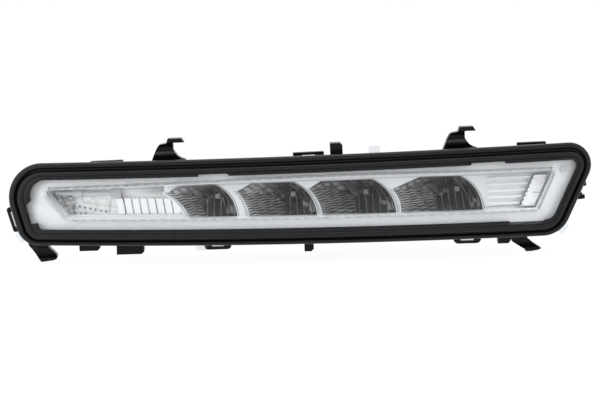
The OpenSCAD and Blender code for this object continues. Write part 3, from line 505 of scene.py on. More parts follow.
def cup_pattern(i, x, z, right_edge):
    """Height over the smooth wall and tone, dark to light, of a cup's flutes, pillows, panels and arcs.
    The tone is painted reflection: painted highlights on ridges, pillows, ledges and arcs, painted shade
    between.
    """
    tip, top, foot = CUP_TIP[i], CUP_TOP[i], CUP_FOOT[i]
    d, e = x - tip[0], right_edge - x

    # left wall: level flutes with a slow wave, a painted highlight on each ridge, brighter in patches and
    # dimmer away from the tip
    limit = CUP_LIMIT[i] + (0.55 * np.maximum(-0.4 - z, 0) if i == 0 else 0)
    fluted = ease(tip[1] - 0.5 - CUP_DIP[i] * d ** 2 - z, -0.4, 0.4) * ease(limit - d, -0.5, 0.5)
    wave = 0.30 * np.sin(2 * np.pi * (x / 6.9 + z / 9)) + 0.028 * d
    ridge = scallop((z + wave) / CUP_FLUTE)
    patch = cloud(x, z, 2.4, i)
    flute_tone = 0.02 + 1.35 * ridge ** 2.0 * (0.45 + 0.55 * patch) * (1.12 - 0.35 * ease(d, 0, 30))

    # right wall: a panel of painted dark reflection with upright lines of painted highlight, and a low row
    # of ledges with painted highlights
    panel = ease(d - limit, -0.5, 0.5) * ease(-1.8 - z, -0.6, 0.6)
    panel_tone = 0.08 + 0.16 * cloud(x, z, 3, i + 5) + 0.7 * stripe(x, PANEL_PITCH, 0.5)
    ledge = ease(e, 0.8, 1.6) * ease(9.5 - e, 0, 1) * ease(z + 10.4, 0, 0.6) * ease(-4.6 - z, 0, 0.6)
    lit = cloud(np.floor(e / LEDGE_STEP) * 3, np.floor(z / 2.5) * 3, 1, i) > 0.4
    panel_tone = panel_tone + ledge * 0.75 * scallop(e / LEDGE_STEP) ** 0.5 * lit

    # crown: leaning pillows, each a painted reflection of its own brightness with a painted highlight on
    # its top, painted shade darker towards the foot and at the crown's very edge, and a band of painted
    # highlight below that edge
    over = np.interp(x, [tip[0], top[0], top[1], foot[1]], [tip[1], top[2], top[3], top[3]]) - z
    lean = (1.15 * x + z) / PILLOW_LEAN
    cross = (z - 0.35 * x) / PILLOW_CROSS
    pillow = scallop(lean) * (0.45 + 0.55 * scallop(cross))
    fall = ease((x - tip[0]) / (foot[1] - tip[0]), 0.22, 0.72)
    cell = cloud(np.floor(lean) * 3.7, np.floor(cross) * 2.9, 1, i + 2)
    reflection_mottle = 0.6 + 0.8 * cloud(x, z, 1.5, i + 7)
    crown_tone = (0.74 - 0.55 * fall) * (0.35 + 0.95 * cell) * reflection_mottle * (0.35 + 0.65 * pillow ** 0.5)
    crown_tone = crown_tone + 0.7 * np.exp(-((over - 3.6) / 0.9) ** 2) * scallop(lean) ** 2 * (1 - fall)
    crown_tone = crown_tone * ease(over, 0.1, 1.2)

    # right edge: three thin arcs of painted highlight that follow it, over painted shade near the edge
    arcs = np.maximum.reduce([line_at(e, at, ARC_WIDTH) for at in ARC_PLACES]) * ease(z, -11, -8)
    crown_tone = crown_tone * (1 - 0.6 * ease(10 - e, 0, 2)) + 0.75 * arcs

    beside_tone = panel * np.maximum(panel_tone, 0.6 * arcs) + (1 - panel) * crown_tone
    beside = (panel * PANEL_RISE * stripe(x, PANEL_PITCH, 0.7)
              + (1 - panel) * PILLOW_RISE * pillow * ease(over, 0, 2))
    tone = fluted * flute_tone + (1 - fluted) * beside_tone
    height = fluted * FLUTE_RISE * ridge + (1 - fluted) * beside + ARC_RISE * arcs
    return height, np.clip(tone, 0, 1)


TONED_GRAIN, TONED_BUMP = 260, 0.000004


def toned_finish(name, dark, light, rough, metallic):
    """A finish that runs from dark to light by the piece's own tone attribute, under a fine grain.
    On the cups that tone is painted reflection and highlight; on the tray it is partly painted highlight.
    """
    finish, tree, bsdf = new_finish(name)
    place, tone, skin = new_nodes(tree, "ShaderNodeTexCoord", "ShaderNodeAttribute", "ShaderNodeGroup")
    tone.attribute_name = "tone"
    skin.node_tree = moulded_skin
    for socket, gain in (("Shade", 0.95), ("Other Shade", 1.05)):
        mix = tree.nodes.new("ShaderNodeMix")
        mix.data_type = "RGBA"
        mix.inputs["A"].default_value = (*(c * gain for c in dark), 1)
        mix.inputs["B"].default_value = (*(min(1, c * gain) for c in light), 1)
        link_chain(tree, (tone.outputs["Fac"], mix.inputs["Factor"]),
                   (mix.outputs["Result"], skin.inputs[socket]))
    wire_skin(tree, bsdf, skin, place.outputs["Object"], (TONED_GRAIN / 6, TONED_GRAIN), rough, TONED_BUMP)
    set_values(bsdf, Metallic=metallic)
    return finish


def give_tone(piece, tone):
    """Stores the tone of each point; a shell's back repeats its front."""
    layer = piece.data.attributes.new("tone", "FLOAT", "POINT")
    layer.data.foreach_set("value", np.tile(np.asarray(tone, float).reshape(-1), 2))


# Chrome painted from near black to white by the cups' tone: painted reflection and painted highlight, not
# the metal's own colour.
dark_chrome = toned_finish("dark_chrome", (0.006, 0.0065, 0.008), (0.98, 0.99, 1.0), (0.16, 0.26), 0.72)

for i in range(4):
    mouth = cup_mouth(i)
    centre = np.array([(CUP_TOP[i][0] + CUP_FOOT[i][1]) / 2 + CUP_SHIFT, 0.0])
    low, high = CUP_FOOT_Z, max(CUP_TOP[i][2], CUP_TOP[i][3])
    share = (1 - np.cos(np.linspace(0, np.pi, CUP_ROWS))) / 2 * 0.5 + np.linspace(0, 1, CUP_ROWS) * 0.5
    rows_x, rows_z, edges = [], [], []
    for z in low + (high - low) * share:
        start, end = span_at(mouth, min(z, high - NEAR))
        rows_x.append(np.linspace(start, end, CUP_COLUMNS))
        rows_z.append(np.full(CUP_COLUMNS, z))
        edges.append(np.full(CUP_COLUMNS, end))
    x, z, edge = np.array(rows_x), np.array(rows_z), np.array(edges)
    far = reach(mouth, centre, x, z)
    off = np.hypot(x - centre[0], z - centre[1])
    inward = np.clip((far - off) / np.maximum(far - CHIP_SEAT, 0.1), 0, 1)
    inward[0], inward[-1] = 0, 0
    inward[:, 0], inward[:, -1] = 0, 0
    rim = face(x, CUP_FRONT)
    bowl = (1 - (1 - BOWL_ROUND * inward) ** 2) / (1 - BOWL_FLAT ** 2)
    y = rim + (CUP_FLOOR - rim) * bowl
    height, tone = cup_pattern(i, x, z, edge)
    y = y - height * ease(inward, 0.0, 0.06) * ease(off, CHIP_SEAT, CHIP_SEAT + 1.2)
    cup = sheet_shell(f"reflector_cup_{i + 1}", np.stack([x, y, z], -1).reshape(-1, 3),
                      CUP_ROWS, CUP_COLUMNS, dark_chrome, SHEET_WALL, SHEET_SOFT)
    give_tone(cup, tone)
    if i == 0:
        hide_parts("reflector_bank")


# Left bay.
# Beside the cups lies a bay with a bright metallised tray: pillow facets at its far end,
# a leaning fluted panel, and over it a clear rod that glows along its length.
paint("side_reflector", metal_finish("silver_reflector", (0.86, 0.87, 0.88), (0.92, 0.92, 0.93),
                                     (0.16, 0.26), (1, 1, 1), 300))
paint("light_guide", skin_finish("light_pipe", (0.86, 0.88, 0.90), (0.92, 0.94, 0.95), 60, 900,
                                 (0.12, 0.22), 0.00002, Transmission_Weight=0.35, IOR=1.49))
paint("guide_clip", skin_finish("grey_plastic", (0.50, 0.51, 0.53), (0.60, 0.61, 0.63), 90, 1500,
                                (0.35, 0.5)))

TRAY_DEPTH, TRAY_INSET, TRAY_EDGE = 19.9, 2.9, 2.6
TRAY_ROWS, TRAY_COLUMNS, TRAY_HEIGHTS = 90, 330, (-10.1, 10.8)
PANEL_TOP = ((-121.5, 2.4), (-81.6, 0.9))
PANEL_LEFT = ((-122.4, 3.6), (-114.2, -11.3))
UPPER_DOTS = ((-155.9, -3.9), (-133.3, -8.2), 7, 0.75)
LOWER_DOTS = ((-158.9, -10.0), (-147.8, -9.1), 4, 0.7)
SLANTED_BAR = ((-127.1, 7.5), PANEL_LEFT[0], 1.3)
UPRIGHT_SEAM = ((-129.6, 0.3), (-131.6, -11.8), 0.5)
LEVEL_SEAM = ((-149.3, -2.1), (-121.9, -5.5), 0.4)


def drawn(x, z, a, b, width):
    """1 on the line from a to b, soft at its edge."""
    long = math.hypot(b[0] - a[0], b[1] - a[1])
    ux, uz = (b[0] - a[0]) / long, (b[1] - a[1]) / long
    s = np.clip((x - a[0]) * ux + (z - a[1]) * uz, 0, long)
    return ease(np.hypot(x - a[0] - s * ux, z - a[1] - s * uz), width / 2 + 0.25, width / 2 - 0.15)


def dotted(x, z, a, b, count, radius):
    """1 on a row of round dots from a to b."""
    hit = np.zeros(x.shape)
    for share in np.linspace(0, 1, count):
        far = np.hypot(x - a[0] - (b[0] - a[0]) * share, z - a[1] - (b[1] - a[1]) * share)
        hit = np.maximum(hit, ease(far, radius + 0.3, radius - 0.3))
    return hit


def tray_pattern(x, z):
    """Height and tone of the tray's pillows, cells and dots, and of the bright leaning panel.
    Painted highlights lighten the pillows' tops at the far end and the crests of the panel's flutes;
    the plain grows darker towards its upper right.
    """
    far_end = ease(-154.5 - x, -2.5, 2.5)
    pillow = scallop((x + 0.5 * z) / 3.9) * scallop((z - 0.3 * x) / 3.4)
    cells = np.maximum(stripe(x + 0.25 * z, 8.8, 0.5), stripe(z + 0.13 * x, 4.1, 0.4))
    tone = 0.93 - 0.12 * cells + 0.18 * (cloud(x, z, 3.0, 5) - 0.5)
    # far end: random patches, lighter on each pillow's top, a painted highlight
    tone = tone * (1 - far_end) + far_end * (0.35 + 0.8 * cloud(x, z, 1.7, 3)) * (0.6 + 0.45 * pillow)
    (x0, z0), (x1, z1) = PANEL_TOP
    top = z0 + (z1 - z0) * (x - x0) / (x1 - x0)
    left = np.interp(-z, [-PANEL_LEFT[0][1], -PANEL_LEFT[1][1]], [PANEL_LEFT[0][0], PANEL_LEFT[1][0]])
    panel = ease(top - z, -0.3, 0.3) * ease(x - left, -0.3, 0.3)
    flutes = scallop((x + 0.25 * z) / 3.1)
    # panel: lighter on each flute's crest, a painted highlight
    tone = tone * (1 - panel) + panel * (0.86 + 0.14 * flutes)
    plain = ease(z - top, -0.3, 0.3) * ease(x + 120, -1, 1)
    tone = tone * (1 - plain) + plain * (0.92 - 0.40 * ease(x, -114, -94) * ease(z, 2, 7))
    marks = np.maximum.reduce([
        0.85 * dotted(x, z, *UPPER_DOTS), 0.75 * dotted(x, z, *LOWER_DOTS),
        0.65 * drawn(x, z, *SLANTED_BAR), 0.5 * drawn(x, z, *PANEL_LEFT, 0.5),
        0.4 * drawn(x, z, *UPRIGHT_SEAM), 0.3 * drawn(x, z, *LEVEL_SEAM)])
    height = 0.5 * pillow * far_end + 0.3 * flutes * panel + 0.15 * (1 - cells) * (1 - panel) + 0.9 * panel
    return height, np.clip(tone * (1 - marks), 0, 1)


tray_finish = toned_finish("silver_reflector_pattern", (0.03, 0.032, 0.036), (0.99, 0.992, 0.995),
                           (0.24, 0.36), 0.12)


def patterned_sheet(name, outline_span, rows_z, columns, depth, pattern, finish):
    """A thin sheet on the bow between the ends of each row, with a pattern's height and tone."""
    xs = np.array([np.linspace(*outline_span(v), columns) for v in rows_z])
    zs = np.repeat(np.asarray(rows_z)[:, None], columns, 1)
    height, tone = pattern(xs, zs)
    points = np.stack([xs, face(xs, depth) - height, zs], -1).reshape(-1, 3)
    sheet = sheet_shell(name, points, len(rows_z), columns, finish,
                        height.reshape(-1) + SHEET_WALL, SHEET_SOFT)
    give_tone(sheet, tone)
    return sheet


# Bezel.
# A satin white moulding that frames the window: flange, raised border with fine slanting
# flutes and dark and grey ticks between them, which are painted shade and painted dark reflection
# in the flutes' valleys, a deck with fine lines and dots beside the cups, and the ribbed bay at the right
# end.
BEZEL_ROUNDING, BEZEL_SOFT = 0.25, 35
white_bezel = skin_finish("white_bezel", (0.82, 0.83, 0.84), (0.86, 0.87, 0.88), 25, 1500, (0.30, 0.42),
                          0.00002)
softened_copy("bezel", "bezel_moulding", white_bezel, BEZEL_ROUNDING, BEZEL_SOFT)


def unit(angle):
    return np.array([math.cos(math.radians(angle)), math.sin(math.radians(angle))])


def moved_in(sides, inset):
    """Side lines, each (direction it faces, distance), moved in by one inset or one for each."""
    each = inset if hasattr(inset, "__len__") else [inset] * len(sides)
    return [(a, d - t) for (a, d), t in zip(sides, each)]


def meet(p, q):
    n, m = unit(p[0]), unit(q[0])
    k = n[0] * m[1] - n[1] * m[0]
    return np.array([(p[1] * m[1] - q[1] * n[1]) / k, (n[0] * q[1] - m[0] * p[1]) / k])


def corner(sides, radii, i):
    """Centre of the rounded corner after side i."""
    p, q = sides[i], sides[(i + 1) % len(sides)]
    return meet((p[0], p[1] - radii[i]), (q[0], q[1] - radii[i]))


def turn_at(sides, i):
    return (sides[i][0] - sides[(i + 1) % len(sides)][0] + 720) % 360


WINDOW = [(220.9, 130.2), (92.07, 17.15), (89.8, 17.8), (-25.2, 155.2), (-90, 13.2)]
WINDOW_RADII = [4.5, 2600, 3, 3, 3]
WINDOW_STEPS = 6
BORDER_WIDTH = 2.2
BORDER_FACE = 3.5
FLUTE_PITCH = 1.75
# First and last point of a run along the window's outline, which has seven points to each corner.
WHOLE_RUN, TOP_RUN, RIGHT_RUN, BOTTOM_RUN, LEFT_RUN = (0, 35), (6, 14), (20, 21), (27, 28), (34, 35)


def window_path(inset):
    """Closed outline of the window, moved in by an inset."""
    sides = moved_in(WINDOW, inset)
    radii = [max(1, r - inset) for r in WINDOW_RADII]
    points = []
    for i in range(len(sides)):
        for k in range(WINDOW_STEPS + 1):
            facing = sides[i][0] - turn_at(sides, i) * k / WINDOW_STEPS
            points.append(corner(sides, radii, i) + radii[i] * unit(facing))
    return np.array(points)


def flute_tree():
    """Geometry nodes: one slanting ridge at every step along the border's path."""
    tree = bpy.data.node_groups.new("fluted_border", "GeometryNodeTree")
    face_of = tree.interface
    face_of.new_socket(name="Geometry", in_out="INPUT", socket_type="NodeSocketGeometry")
    for name in ("Pitch", "Ridge Length", "Ridge Width", "Ridge Height", "Slant"):
        face_of.new_socket(name=name, in_out="INPUT", socket_type="NodeSocketFloat")
    face_of.new_socket(name="Material", in_out="INPUT", socket_type="NodeSocketMaterial")
    face_of.new_socket(name="Geometry", in_out="OUTPUT", socket_type="NodeSocketGeometry")
    l = tree.links
    given, made, steps, ridge, size, lean = new_nodes(
        tree, "NodeGroupInput", "NodeGroupOutput", "GeometryNodeResampleCurve", "GeometryNodeMeshUVSphere",
        "ShaderNodeCombineXYZ", "ShaderNodeCombineXYZ")
    tangent, square, turned, place, real, skin, smooth = new_nodes(
        tree, "GeometryNodeInputTangent", "FunctionNodeAlignRotationToVector", "FunctionNodeRotateRotation",
        "GeometryNodeInstanceOnPoints", "GeometryNodeRealizeInstances", "GeometryNodeSetMaterial",
        "GeometryNodeSetShadeSmooth")
    steps.mode = "LENGTH"
    ridge.inputs["Segments"].default_value, ridge.inputs["Rings"].default_value = 8, 5
    ridge.inputs["Radius"].default_value = 0.5
    square.axis, square.pivot_axis = "X", "Y"
    turned.rotation_space = "LOCAL"
    for maker, out, taker, into in (
            (given, "Geometry", steps, "Curve"), (given, "Pitch", steps, "Length"),
            (steps, "Curve", place, "Points"), (ridge, "Mesh", place, "Instance"),
            (given, "Ridge Width", size, "X"), (given, "Ridge Height", size, "Y"),
            (given, "Ridge Length", size, "Z"), (size, "Vector", place, "Scale"),
            (tangent, "Tangent", square, "Vector"), (given, "Slant", lean, "Y"),
            (square, "Rotation", turned, "Rotation"), (lean, "Vector", turned, "Rotate By"),
            (turned, "Rotation", place, "Rotation"), (place, "Instances", real, "Geometry"),
            (real, "Geometry", smooth, "Geometry"), (smooth, "Geometry", skin, "Geometry"),
            (given, "Material", skin, "Material"), (skin, "Geometry", made, "Geometry")):
        l.new(maker.outputs[out], taker.inputs[into])
    return tree


border_finish = skin_finish("fluted_border", (0.66, 0.67, 0.69), (0.74, 0.75, 0.77), 60, 1500, (0.22, 0.34),
                            0.00001)


def path_curve(name, points, closed):
    curve = bpy.data.curves.new(name, "CURVE")
    curve.dimensions = "3D"
    line = curve.splines.new("POLY")
    line.points.add(len(points) - 1)
    for point, spot in zip(points, line.points):
        spot.co = (*(Vector(point) * MM), 1)
    line.use_cyclic_u = closed
    path = bpy.data.objects.new(name, curve)
    scene.collection.objects.link(path)
    return path


def grown(name, path, tree, values, finish):
    """The plain mesh that a node tree makes along a path, as a piece of its own."""
    grower = path.modifiers.new("grow", "NODES")
    grower.node_group = tree
    for item in tree.interface.items_tree:
        if item.in_out == "INPUT" and item.name in values:
            grower[item.identifier] = values[item.name]
    bpy.context.view_layer.update()
    made = bpy.data.meshes.new_from_object(path.evaluated_get(bpy.context.evaluated_depsgraph_get()))
    made.name = name
    bpy.data.objects.remove(path)
    if not made.materials:
        made.materials.append(finish)
    piece = bpy.data.objects.new(name, made)
    scene.collection.objects.link(piece)
    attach(piece, "root")
    return piece


def ridges(pitch, long, wide, high, slant, finish):
    """What the flute tree is given for one row, sizes in millimetres and the slant in degrees."""
    return {"Pitch": pitch * MM, "Ridge Length": long * MM, "Ridge Width": wide * MM,
            "Ridge Height": high * MM, "Slant": math.radians(slant), "Material": finish}


def border_run(first, last, inset, depth, step=0.7):
    """Points on the bow along the window's outline between two of its corner points."""
    flat = window_path(inset)
    part = flat[[k % len(flat) for k in range(first, last + 1)]]
    along = np.concatenate([[0], np.cumsum(np.linalg.norm(np.diff(part, axis=0), axis=1))])
    where = np.arange(0, along[-1], step)
    x, z = np.interp(where, along, part[:, 0]), np.interp(where, along, part[:, 1])
    return np.stack([x, face(x, depth), z], -1)


def tray_span(z):
    """Ends of the tray's row at a height, from the window's left side to the strip beside the first cup."""
    edge = bend((CUP_FOOT[0][0], CUP_FOOT_Z), CUP_TIP[0], -CUP_HOLLOW, 24)
    end = np.interp(z, edge[:, 1], edge[:, 0]) if z < CUP_TIP[0][1] else CUP_TIP[0][0]
    return span_at(window_path(TRAY_INSET), z)[0], end - TRAY_EDGE


patterned_sheet("tray_floor", tray_span, np.linspace(*TRAY_HEIGHTS, TRAY_ROWS), TRAY_COLUMNS, TRAY_DEPTH,
                tray_pattern, tray_finish)

tree = flute_tree()
border = border_run(*WHOLE_RUN, BORDER_WIDTH / 2, BORDER_FACE, 1.0)
grown("fluted_border", path_curve("border_path", border, True), tree,
      ridges(FLUTE_PITCH, 2.1, 1.15, 0.9, 24, border_finish), border_finish)

TICK_HEIGHT, DOT_HEIGHT = 1.0, 0.5
# Dark and grey for the ticks: on the border they are painted shade and painted dark reflection between the
# flutes; they also colour the left rails and the deck's lines and dots.
tick_dark = skin_finish("tick_dark", (0.06, 0.062, 0.067), (0.12, 0.124, 0.13), 60, 1500, (0.18, 0.3),
                        0.00001)
tick_grey = skin_finish("tick_grey", (0.26, 0.265, 0.275), (0.36, 0.365, 0.375), 60, 1500, (0.2, 0.32),
                        0.00001)
# Rows of ticks along the border, dark and grey as painted shade in the flutes' valleys, and two thin grey
# rails along the left side.
for name, run, inset, depth, pitch, long, wide, slant, finish in (
        ("ticks_top", TOP_RUN, 0.9, BORDER_FACE, 1.4, 2.4, 0.62, 24, tick_dark),
        ("ticks_top_inner", TOP_RUN, 3.6, BORDER_FACE + 1.2, 1.4, 1.6, 0.55, 24, tick_grey),
        ("ticks_right", RIGHT_RUN, 1.1, BORDER_FACE, 1.4, 2.4, 0.7, 20, tick_dark),
        ("ticks_bottom", BOTTOM_RUN, 1.1, BORDER_FACE, 1.4, 2.1, 0.6, 0, tick_grey),
        ("rim_left_outer", LEFT_RUN, 0.3, BORDER_FACE, 0.3, 0.45, 0.45, 0, tick_grey),
        ("rim_left_inner", LEFT_RUN, 1.9, BORDER_FACE, 0.3, 0.45, 0.45, 0, tick_grey)):
    grown(name, path_curve(name + "_path", border_run(*run, inset, depth), False), tree,
          ridges(pitch, long, wide, TICK_HEIGHT, slant, finish), finish)

DECK_DEPTH = 14
DECK_DOTS = ((129.3, 151), (-9.7, -9.1))
for i in range(4):
    mouth = cup_mouth(i)
    left, right = mouth[:25], mouth[26:]
    for name, edge, shift, pitch, size, finish in (
            ("strip_line", left, -1.0, 0.3, 0.45, tick_grey),
            ("strip_dots", left, -2.0, 1.3, 0.75, tick_grey),
            ("strip_edge", right, 0.9, 0.3, 0.5, tick_dark)):
        path = [(x + shift, float(face(x + shift, DECK_DEPTH)), z) for x, z in edge]
        grown(f"{name}_{i + 1}", path_curve(f"{name}_path", path, False), tree,
              ridges(pitch, size, size, DOT_HEIGHT, 0, finish), finish)
path = [(x, float(face(x, DECK_DEPTH)), np.interp(x, *DECK_DOTS)) for x in np.linspace(*DECK_DOTS[0], 20)]
grown("deck_dots", path_curve("deck_path", path, False), tree,
      ridges(1.9, 0.8, 1.0, DOT_HEIGHT, 0, tick_dark), tick_dark)


# End optic.
# A clear moulded insert at the right end, in three prism blocks behind the window's last edge,
# with a pale marbled face that carries a row of dots and the thin outlines of its prisms.
def clear_finish(name, tint, rough, ior, bump=0.0):
    """Clear plastic that lets the lamps' light through to what lies behind it."""
    finish, tree, bsdf = new_finish(name)
    set_values(bsdf, Base_Color=tint, Roughness=rough, IOR=ior, Transmission_Weight=1.0)
    out = tree.nodes["Material Output"]
    path, open_way, mix = new_nodes(tree, "ShaderNodeLightPath", "ShaderNodeBsdfTransparent",
                                    "ShaderNodeMixShader")
    open_way.inputs["Color"].default_value = (0.96, 0.97, 0.975, 1)
    if bump:
        place, grain, bumped = new_nodes(tree, "ShaderNodeTexCoord", "ShaderNodeTexNoise", "ShaderNodeBump")
        grain.inputs["Scale"].default_value, grain.inputs["Detail"].default_value = 18, 2
        bumped.inputs["Distance"].default_value = bump
        link_chain(tree, (place.outputs["Object"], grain.inputs["Vector"]),
                   (grain.outputs["Fac"], bumped.inputs["Height"]),
                   (bumped.outputs["Normal"], bsdf.inputs["Normal"]))
    link_chain(tree, (path.outputs["Is Shadow Ray"], mix.inputs["Fac"]),
               (bsdf.outputs["BSDF"], mix.inputs[1]), (open_way.outputs["BSDF"], mix.inputs[2]),
               (mix.outputs["Shader"], out.inputs["Surface"]))
    return finish


paint("end_optic", clear_finish("optic_plastic", (0.95, 0.97, 0.98), 0.08, 1.49, 0.00005))

OPTIC_FACE = 9.6
OPTIC_EDGES = (12.7, 4.0)
OPTIC_ROWS, OPTIC_COLUMNS, OPTIC_HEIGHTS = 70, 34, (-9.6, 11.6)
OPTIC_DOTS = ((163.2, 12.1), (154.0, -8.2), 8, 0.7)
PRISM_LINES = (((172.4, 12.0), (170.6, 8.4)), ((169.4, 4.0), (166.8, -0.7)), ((166.8, -0.7), (161.7, -0.4)),
               ((165.0, -4.8), (162.9, -9.6)), ((162.9, -9.6), (154.2, -9.3)))


def optic_span(z):
    """Ends of the optic's row, between two lines that lean with the window's right side."""
    facing, far = WINDOW[3]
    n = unit(facing)
    return tuple((far - t - z * n[1]) / n[0] for t in OPTIC_EDGES)


def optic_pattern(x, z):
    """Height and tone of the pale marbled face with its dots and the thin outlines of its prisms."""
    tone = 0.95 + 0.16 * (cloud(x, z, 2.6, 4) - 0.5) - 0.08 * stripe(z - 0.03 * x, 4.3, 0.5)
    lines = np.maximum.reduce([drawn(x, z, *pair, 0.5) for pair in PRISM_LINES])
    marks = np.maximum(0.6 * lines, 0.7 * dotted(x, z, *OPTIC_DOTS))
    return 0.2 * cloud(x, z, 2.6, 4), np.clip(tone * (1 - marks), 0, 1)


optic_finish = toned_finish("optic_face", (0.10, 0.103, 0.108), (0.96, 0.965, 0.97), (0.18, 0.3), 0.0)
patterned_sheet("optic_face", optic_span, np.linspace(*OPTIC_HEIGHTS, OPTIC_ROWS), OPTIC_COLUMNS,
                OPTIC_FACE, optic_pattern, optic_finish)


# Lens.
# One bowed pane of clear plastic with a foot all round that stands in the housing's
# channel, and four tabs that reach out behind the seal.
def filled_rows(outline, rows, columns):
    """x and z of a grid that fills an outline, closer together towards its top and bottom."""
    low, high = outline[:, 1].min(), outline[:, 1].max()
    even = np.linspace(0, 1, rows)
    share = (1 - np.cos(even * np.pi)) / 4 + even / 2
    xs, zs = [], []
    for z in low + (high - low) * share:
        start, end = span_at(outline, min(max(z, low + NEAR), high - NEAR))
        xs.append(np.linspace(start, end, columns))
        zs.append(np.full(columns, z))
    return np.array(xs), np.array(zs)


LAMP = [(195.9, 194.1), (90.9, 30.3), (-25.9, 175.8), (-90, 30.2)]
CORNER_RADII = [25, 15.3, 20, 15]
LENS_INSET, LENS_THICKNESS = 7.2, 2.8
FOOT_INSET, FOOT_THICKNESS, FOOT_DEPTH = 8.6, 1.6, 11.6
CORNER_STEPS, SIDE_STEPS = 16, 24
LENS_ROWS, LENS_COLUMNS, LENS_SOFT = 60, 160, 40


def lamp_radii(inset):
    each = inset if hasattr(inset, "__len__") else [inset] * 4
    return [max(3, CORNER_RADII[i] - (each[i] + each[(i + 1) % 4]) / 2) for i in range(4)]


def lamp_point(station, inset):
    """Point of the lamp's outline at a station (side, share along it, is it a corner)."""
    i, share, at_corner = station
    sides, radii = moved_in(LAMP, inset), lamp_radii(inset)
    before = (i + 3) % 4
    facing = sides[i][0]
    if at_corner:
        return corner(sides, radii, i) + radii[i] * unit(facing - turn_at(sides, i) * share)
    p = corner(sides, radii, before) + radii[before] * unit(facing)
    q = corner(sides, radii, i) + radii[i] * unit(facing)
    return p + (q - p) * share


def lamp_outline(inset):
    """Closed outline of the lamp, moved in by an inset."""
    return np.array([lamp_point((i, k / CORNER_STEPS, True), inset)
                     for i in range(4) for k in range(CORNER_STEPS + 1)])


def swept(name, rings, finish, smooth):
    """A closed tube through rings of equal count."""
    count, size = len(rings), len(rings[0])
    faces = []
    for r in range(count):
        for c in range(size):
            d, s = (r + 1) % count, (c + 1) % size
            faces.append((r * size + c, r * size + s, d * size + s, d * size + c))
    piece = solid_from(name, np.vstack(rings), faces, finish, smooth)
    shape = bmesh.new()
    shape.from_mesh(piece.data)
    bmesh.ops.remove_doubles(shape, verts=shape.verts, dist=1e-7)
    bmesh.ops.recalc_face_normals(shape, faces=shape.faces)
    shape.to_mesh(piece.data)
    shape.free()
    piece.data.shade_smooth()
    piece.data.set_sharp_from_angle(angle=math.radians(smooth))
    return piece


def joined(name, pieces):
    """One piece from several, which keeps the first one's body and slot."""
    shape = bmesh.new()
    for piece in pieces:
        shape.from_mesh(piece.data)
    shape.to_mesh(pieces[0].data)
    shape.free()
    for piece in pieces[1:]:
        bpy.data.objects.remove(piece)
    pieces[0].name = pieces[0].data.name = name
    return pieces[0]


def lens_tab(place, facing):
    """A flat clear tab with rounded outer corners, behind the seal."""
    out, side = unit(facing), unit(facing - 90)
    depth, thick, half, length, rounding = 9.8, 1.6, 4.0, 4.0, 1.5
    flat = [(-half, -FOOT_INSET - 0.4), (-half, 1.5)]
    flat += [(-half + rounding - rounding * math.cos(a), length - rounding + rounding * math.sin(a))
             for a in np.linspace(0, math.pi / 2, 6)]
    flat += [(-x, y) for x, y in flat[::-1]]
    near = [np.array(place) + side * a + out * b for a, b in flat]
    points = [(p[0], face(p[0], d), p[1]) for d in (depth, depth + thick) for p in near]
    n = len(flat)
    faces = [tuple(range(n))[::-1], tuple(range(n, 2 * n))]
    faces += [(i, (i + 1) % n, n + (i + 1) % n, n + i) for i in range(n)]
    return solid_from("tab", points, faces, tab_clear, 30)


def side_tab(i, x):
    """A tab on the top or bottom side, at x."""
    facing, far = LAMP[i]
    n = unit(facing)
    return lens_tab((x, (far - x * n[0]) / n[1]), facing)


def corner_tab(i, facing):
    """A tab on the rounded corner after side i."""
    return lens_tab(corner(LAMP, CORNER_RADII, i) + CORNER_RADII[i] * unit(facing), facing)


clear_lens = clear_finish("clear_lens", (0.985, 0.99, 0.995), 0.012, 1.25)
tab_clear = clear_finish("lens_tabs", (0.80, 0.82, 0.84), 0.22, 1.45)
x, z = filled_rows(lamp_outline(LENS_INSET), LENS_ROWS, LENS_COLUMNS)
pane = sheet_shell("pane", np.stack([x, face(x), z], -1).reshape(-1, 3), LENS_ROWS, LENS_COLUMNS,
                   clear_lens, (face(x, LENS_THICKNESS) - face(x)).reshape(-1), LENS_SOFT)
foot = []
places = [(k / SIDE_STEPS, False) for k in range(SIDE_STEPS)]
places += [(k / CORNER_STEPS, True) for k in range(CORNER_STEPS)]
for i in range(4):
    for share, at_corner in places:
        a, b = (lamp_point((i, share, at_corner), t) for t in (FOOT_INSET, FOOT_INSET + FOOT_THICKNESS))
        section = ((a, LENS_THICKNESS), (a, FOOT_DEPTH), (b, FOOT_DEPTH), (b, LENS_THICKNESS))
        foot.append(np.array([(p[0], face(p[0], d), p[1]) for p, d in section]))
tabs = [side_tab(1, 54), corner_tab(2, -48), corner_tab(3, 217), side_tab(3, -67)]
lens = joined("lens_moulding", [pane, swept("foot", foot, clear_lens, LENS_SOFT)])
joined("lens_tabs", tabs)
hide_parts("lens")


# Edge seal.
# Soft black rubber moulded onto the lens: an outer lip that meets the bumper, a groove, a
# round bead, and a flat band on the lens that is broken at four places.
LIP_IN = [4.4, 3.6, 3.6, 3.0]
BEAD_OUT = [6.8, 6.0, 5.9, 5.4]
BEAD_IN = [11.2, 8.8, 8.7, 8.4]
BAND_IN = [16.6, 11.4, 10.8, 11.8]
BEAD_RISE, BAND_RISE = 1.3, 0.6
LIP_DEPTH, GROOVE_DEPTH, SEAL_BACK = 2.0, 5.6, 9.0
BAND_GAPS = {0: [(-17.4, -4.6)], 1: [(-68.6, -47.3), (118.3, 142.3)], 3: [(143.6, 168)]}
SEAL_STEP = 2.5


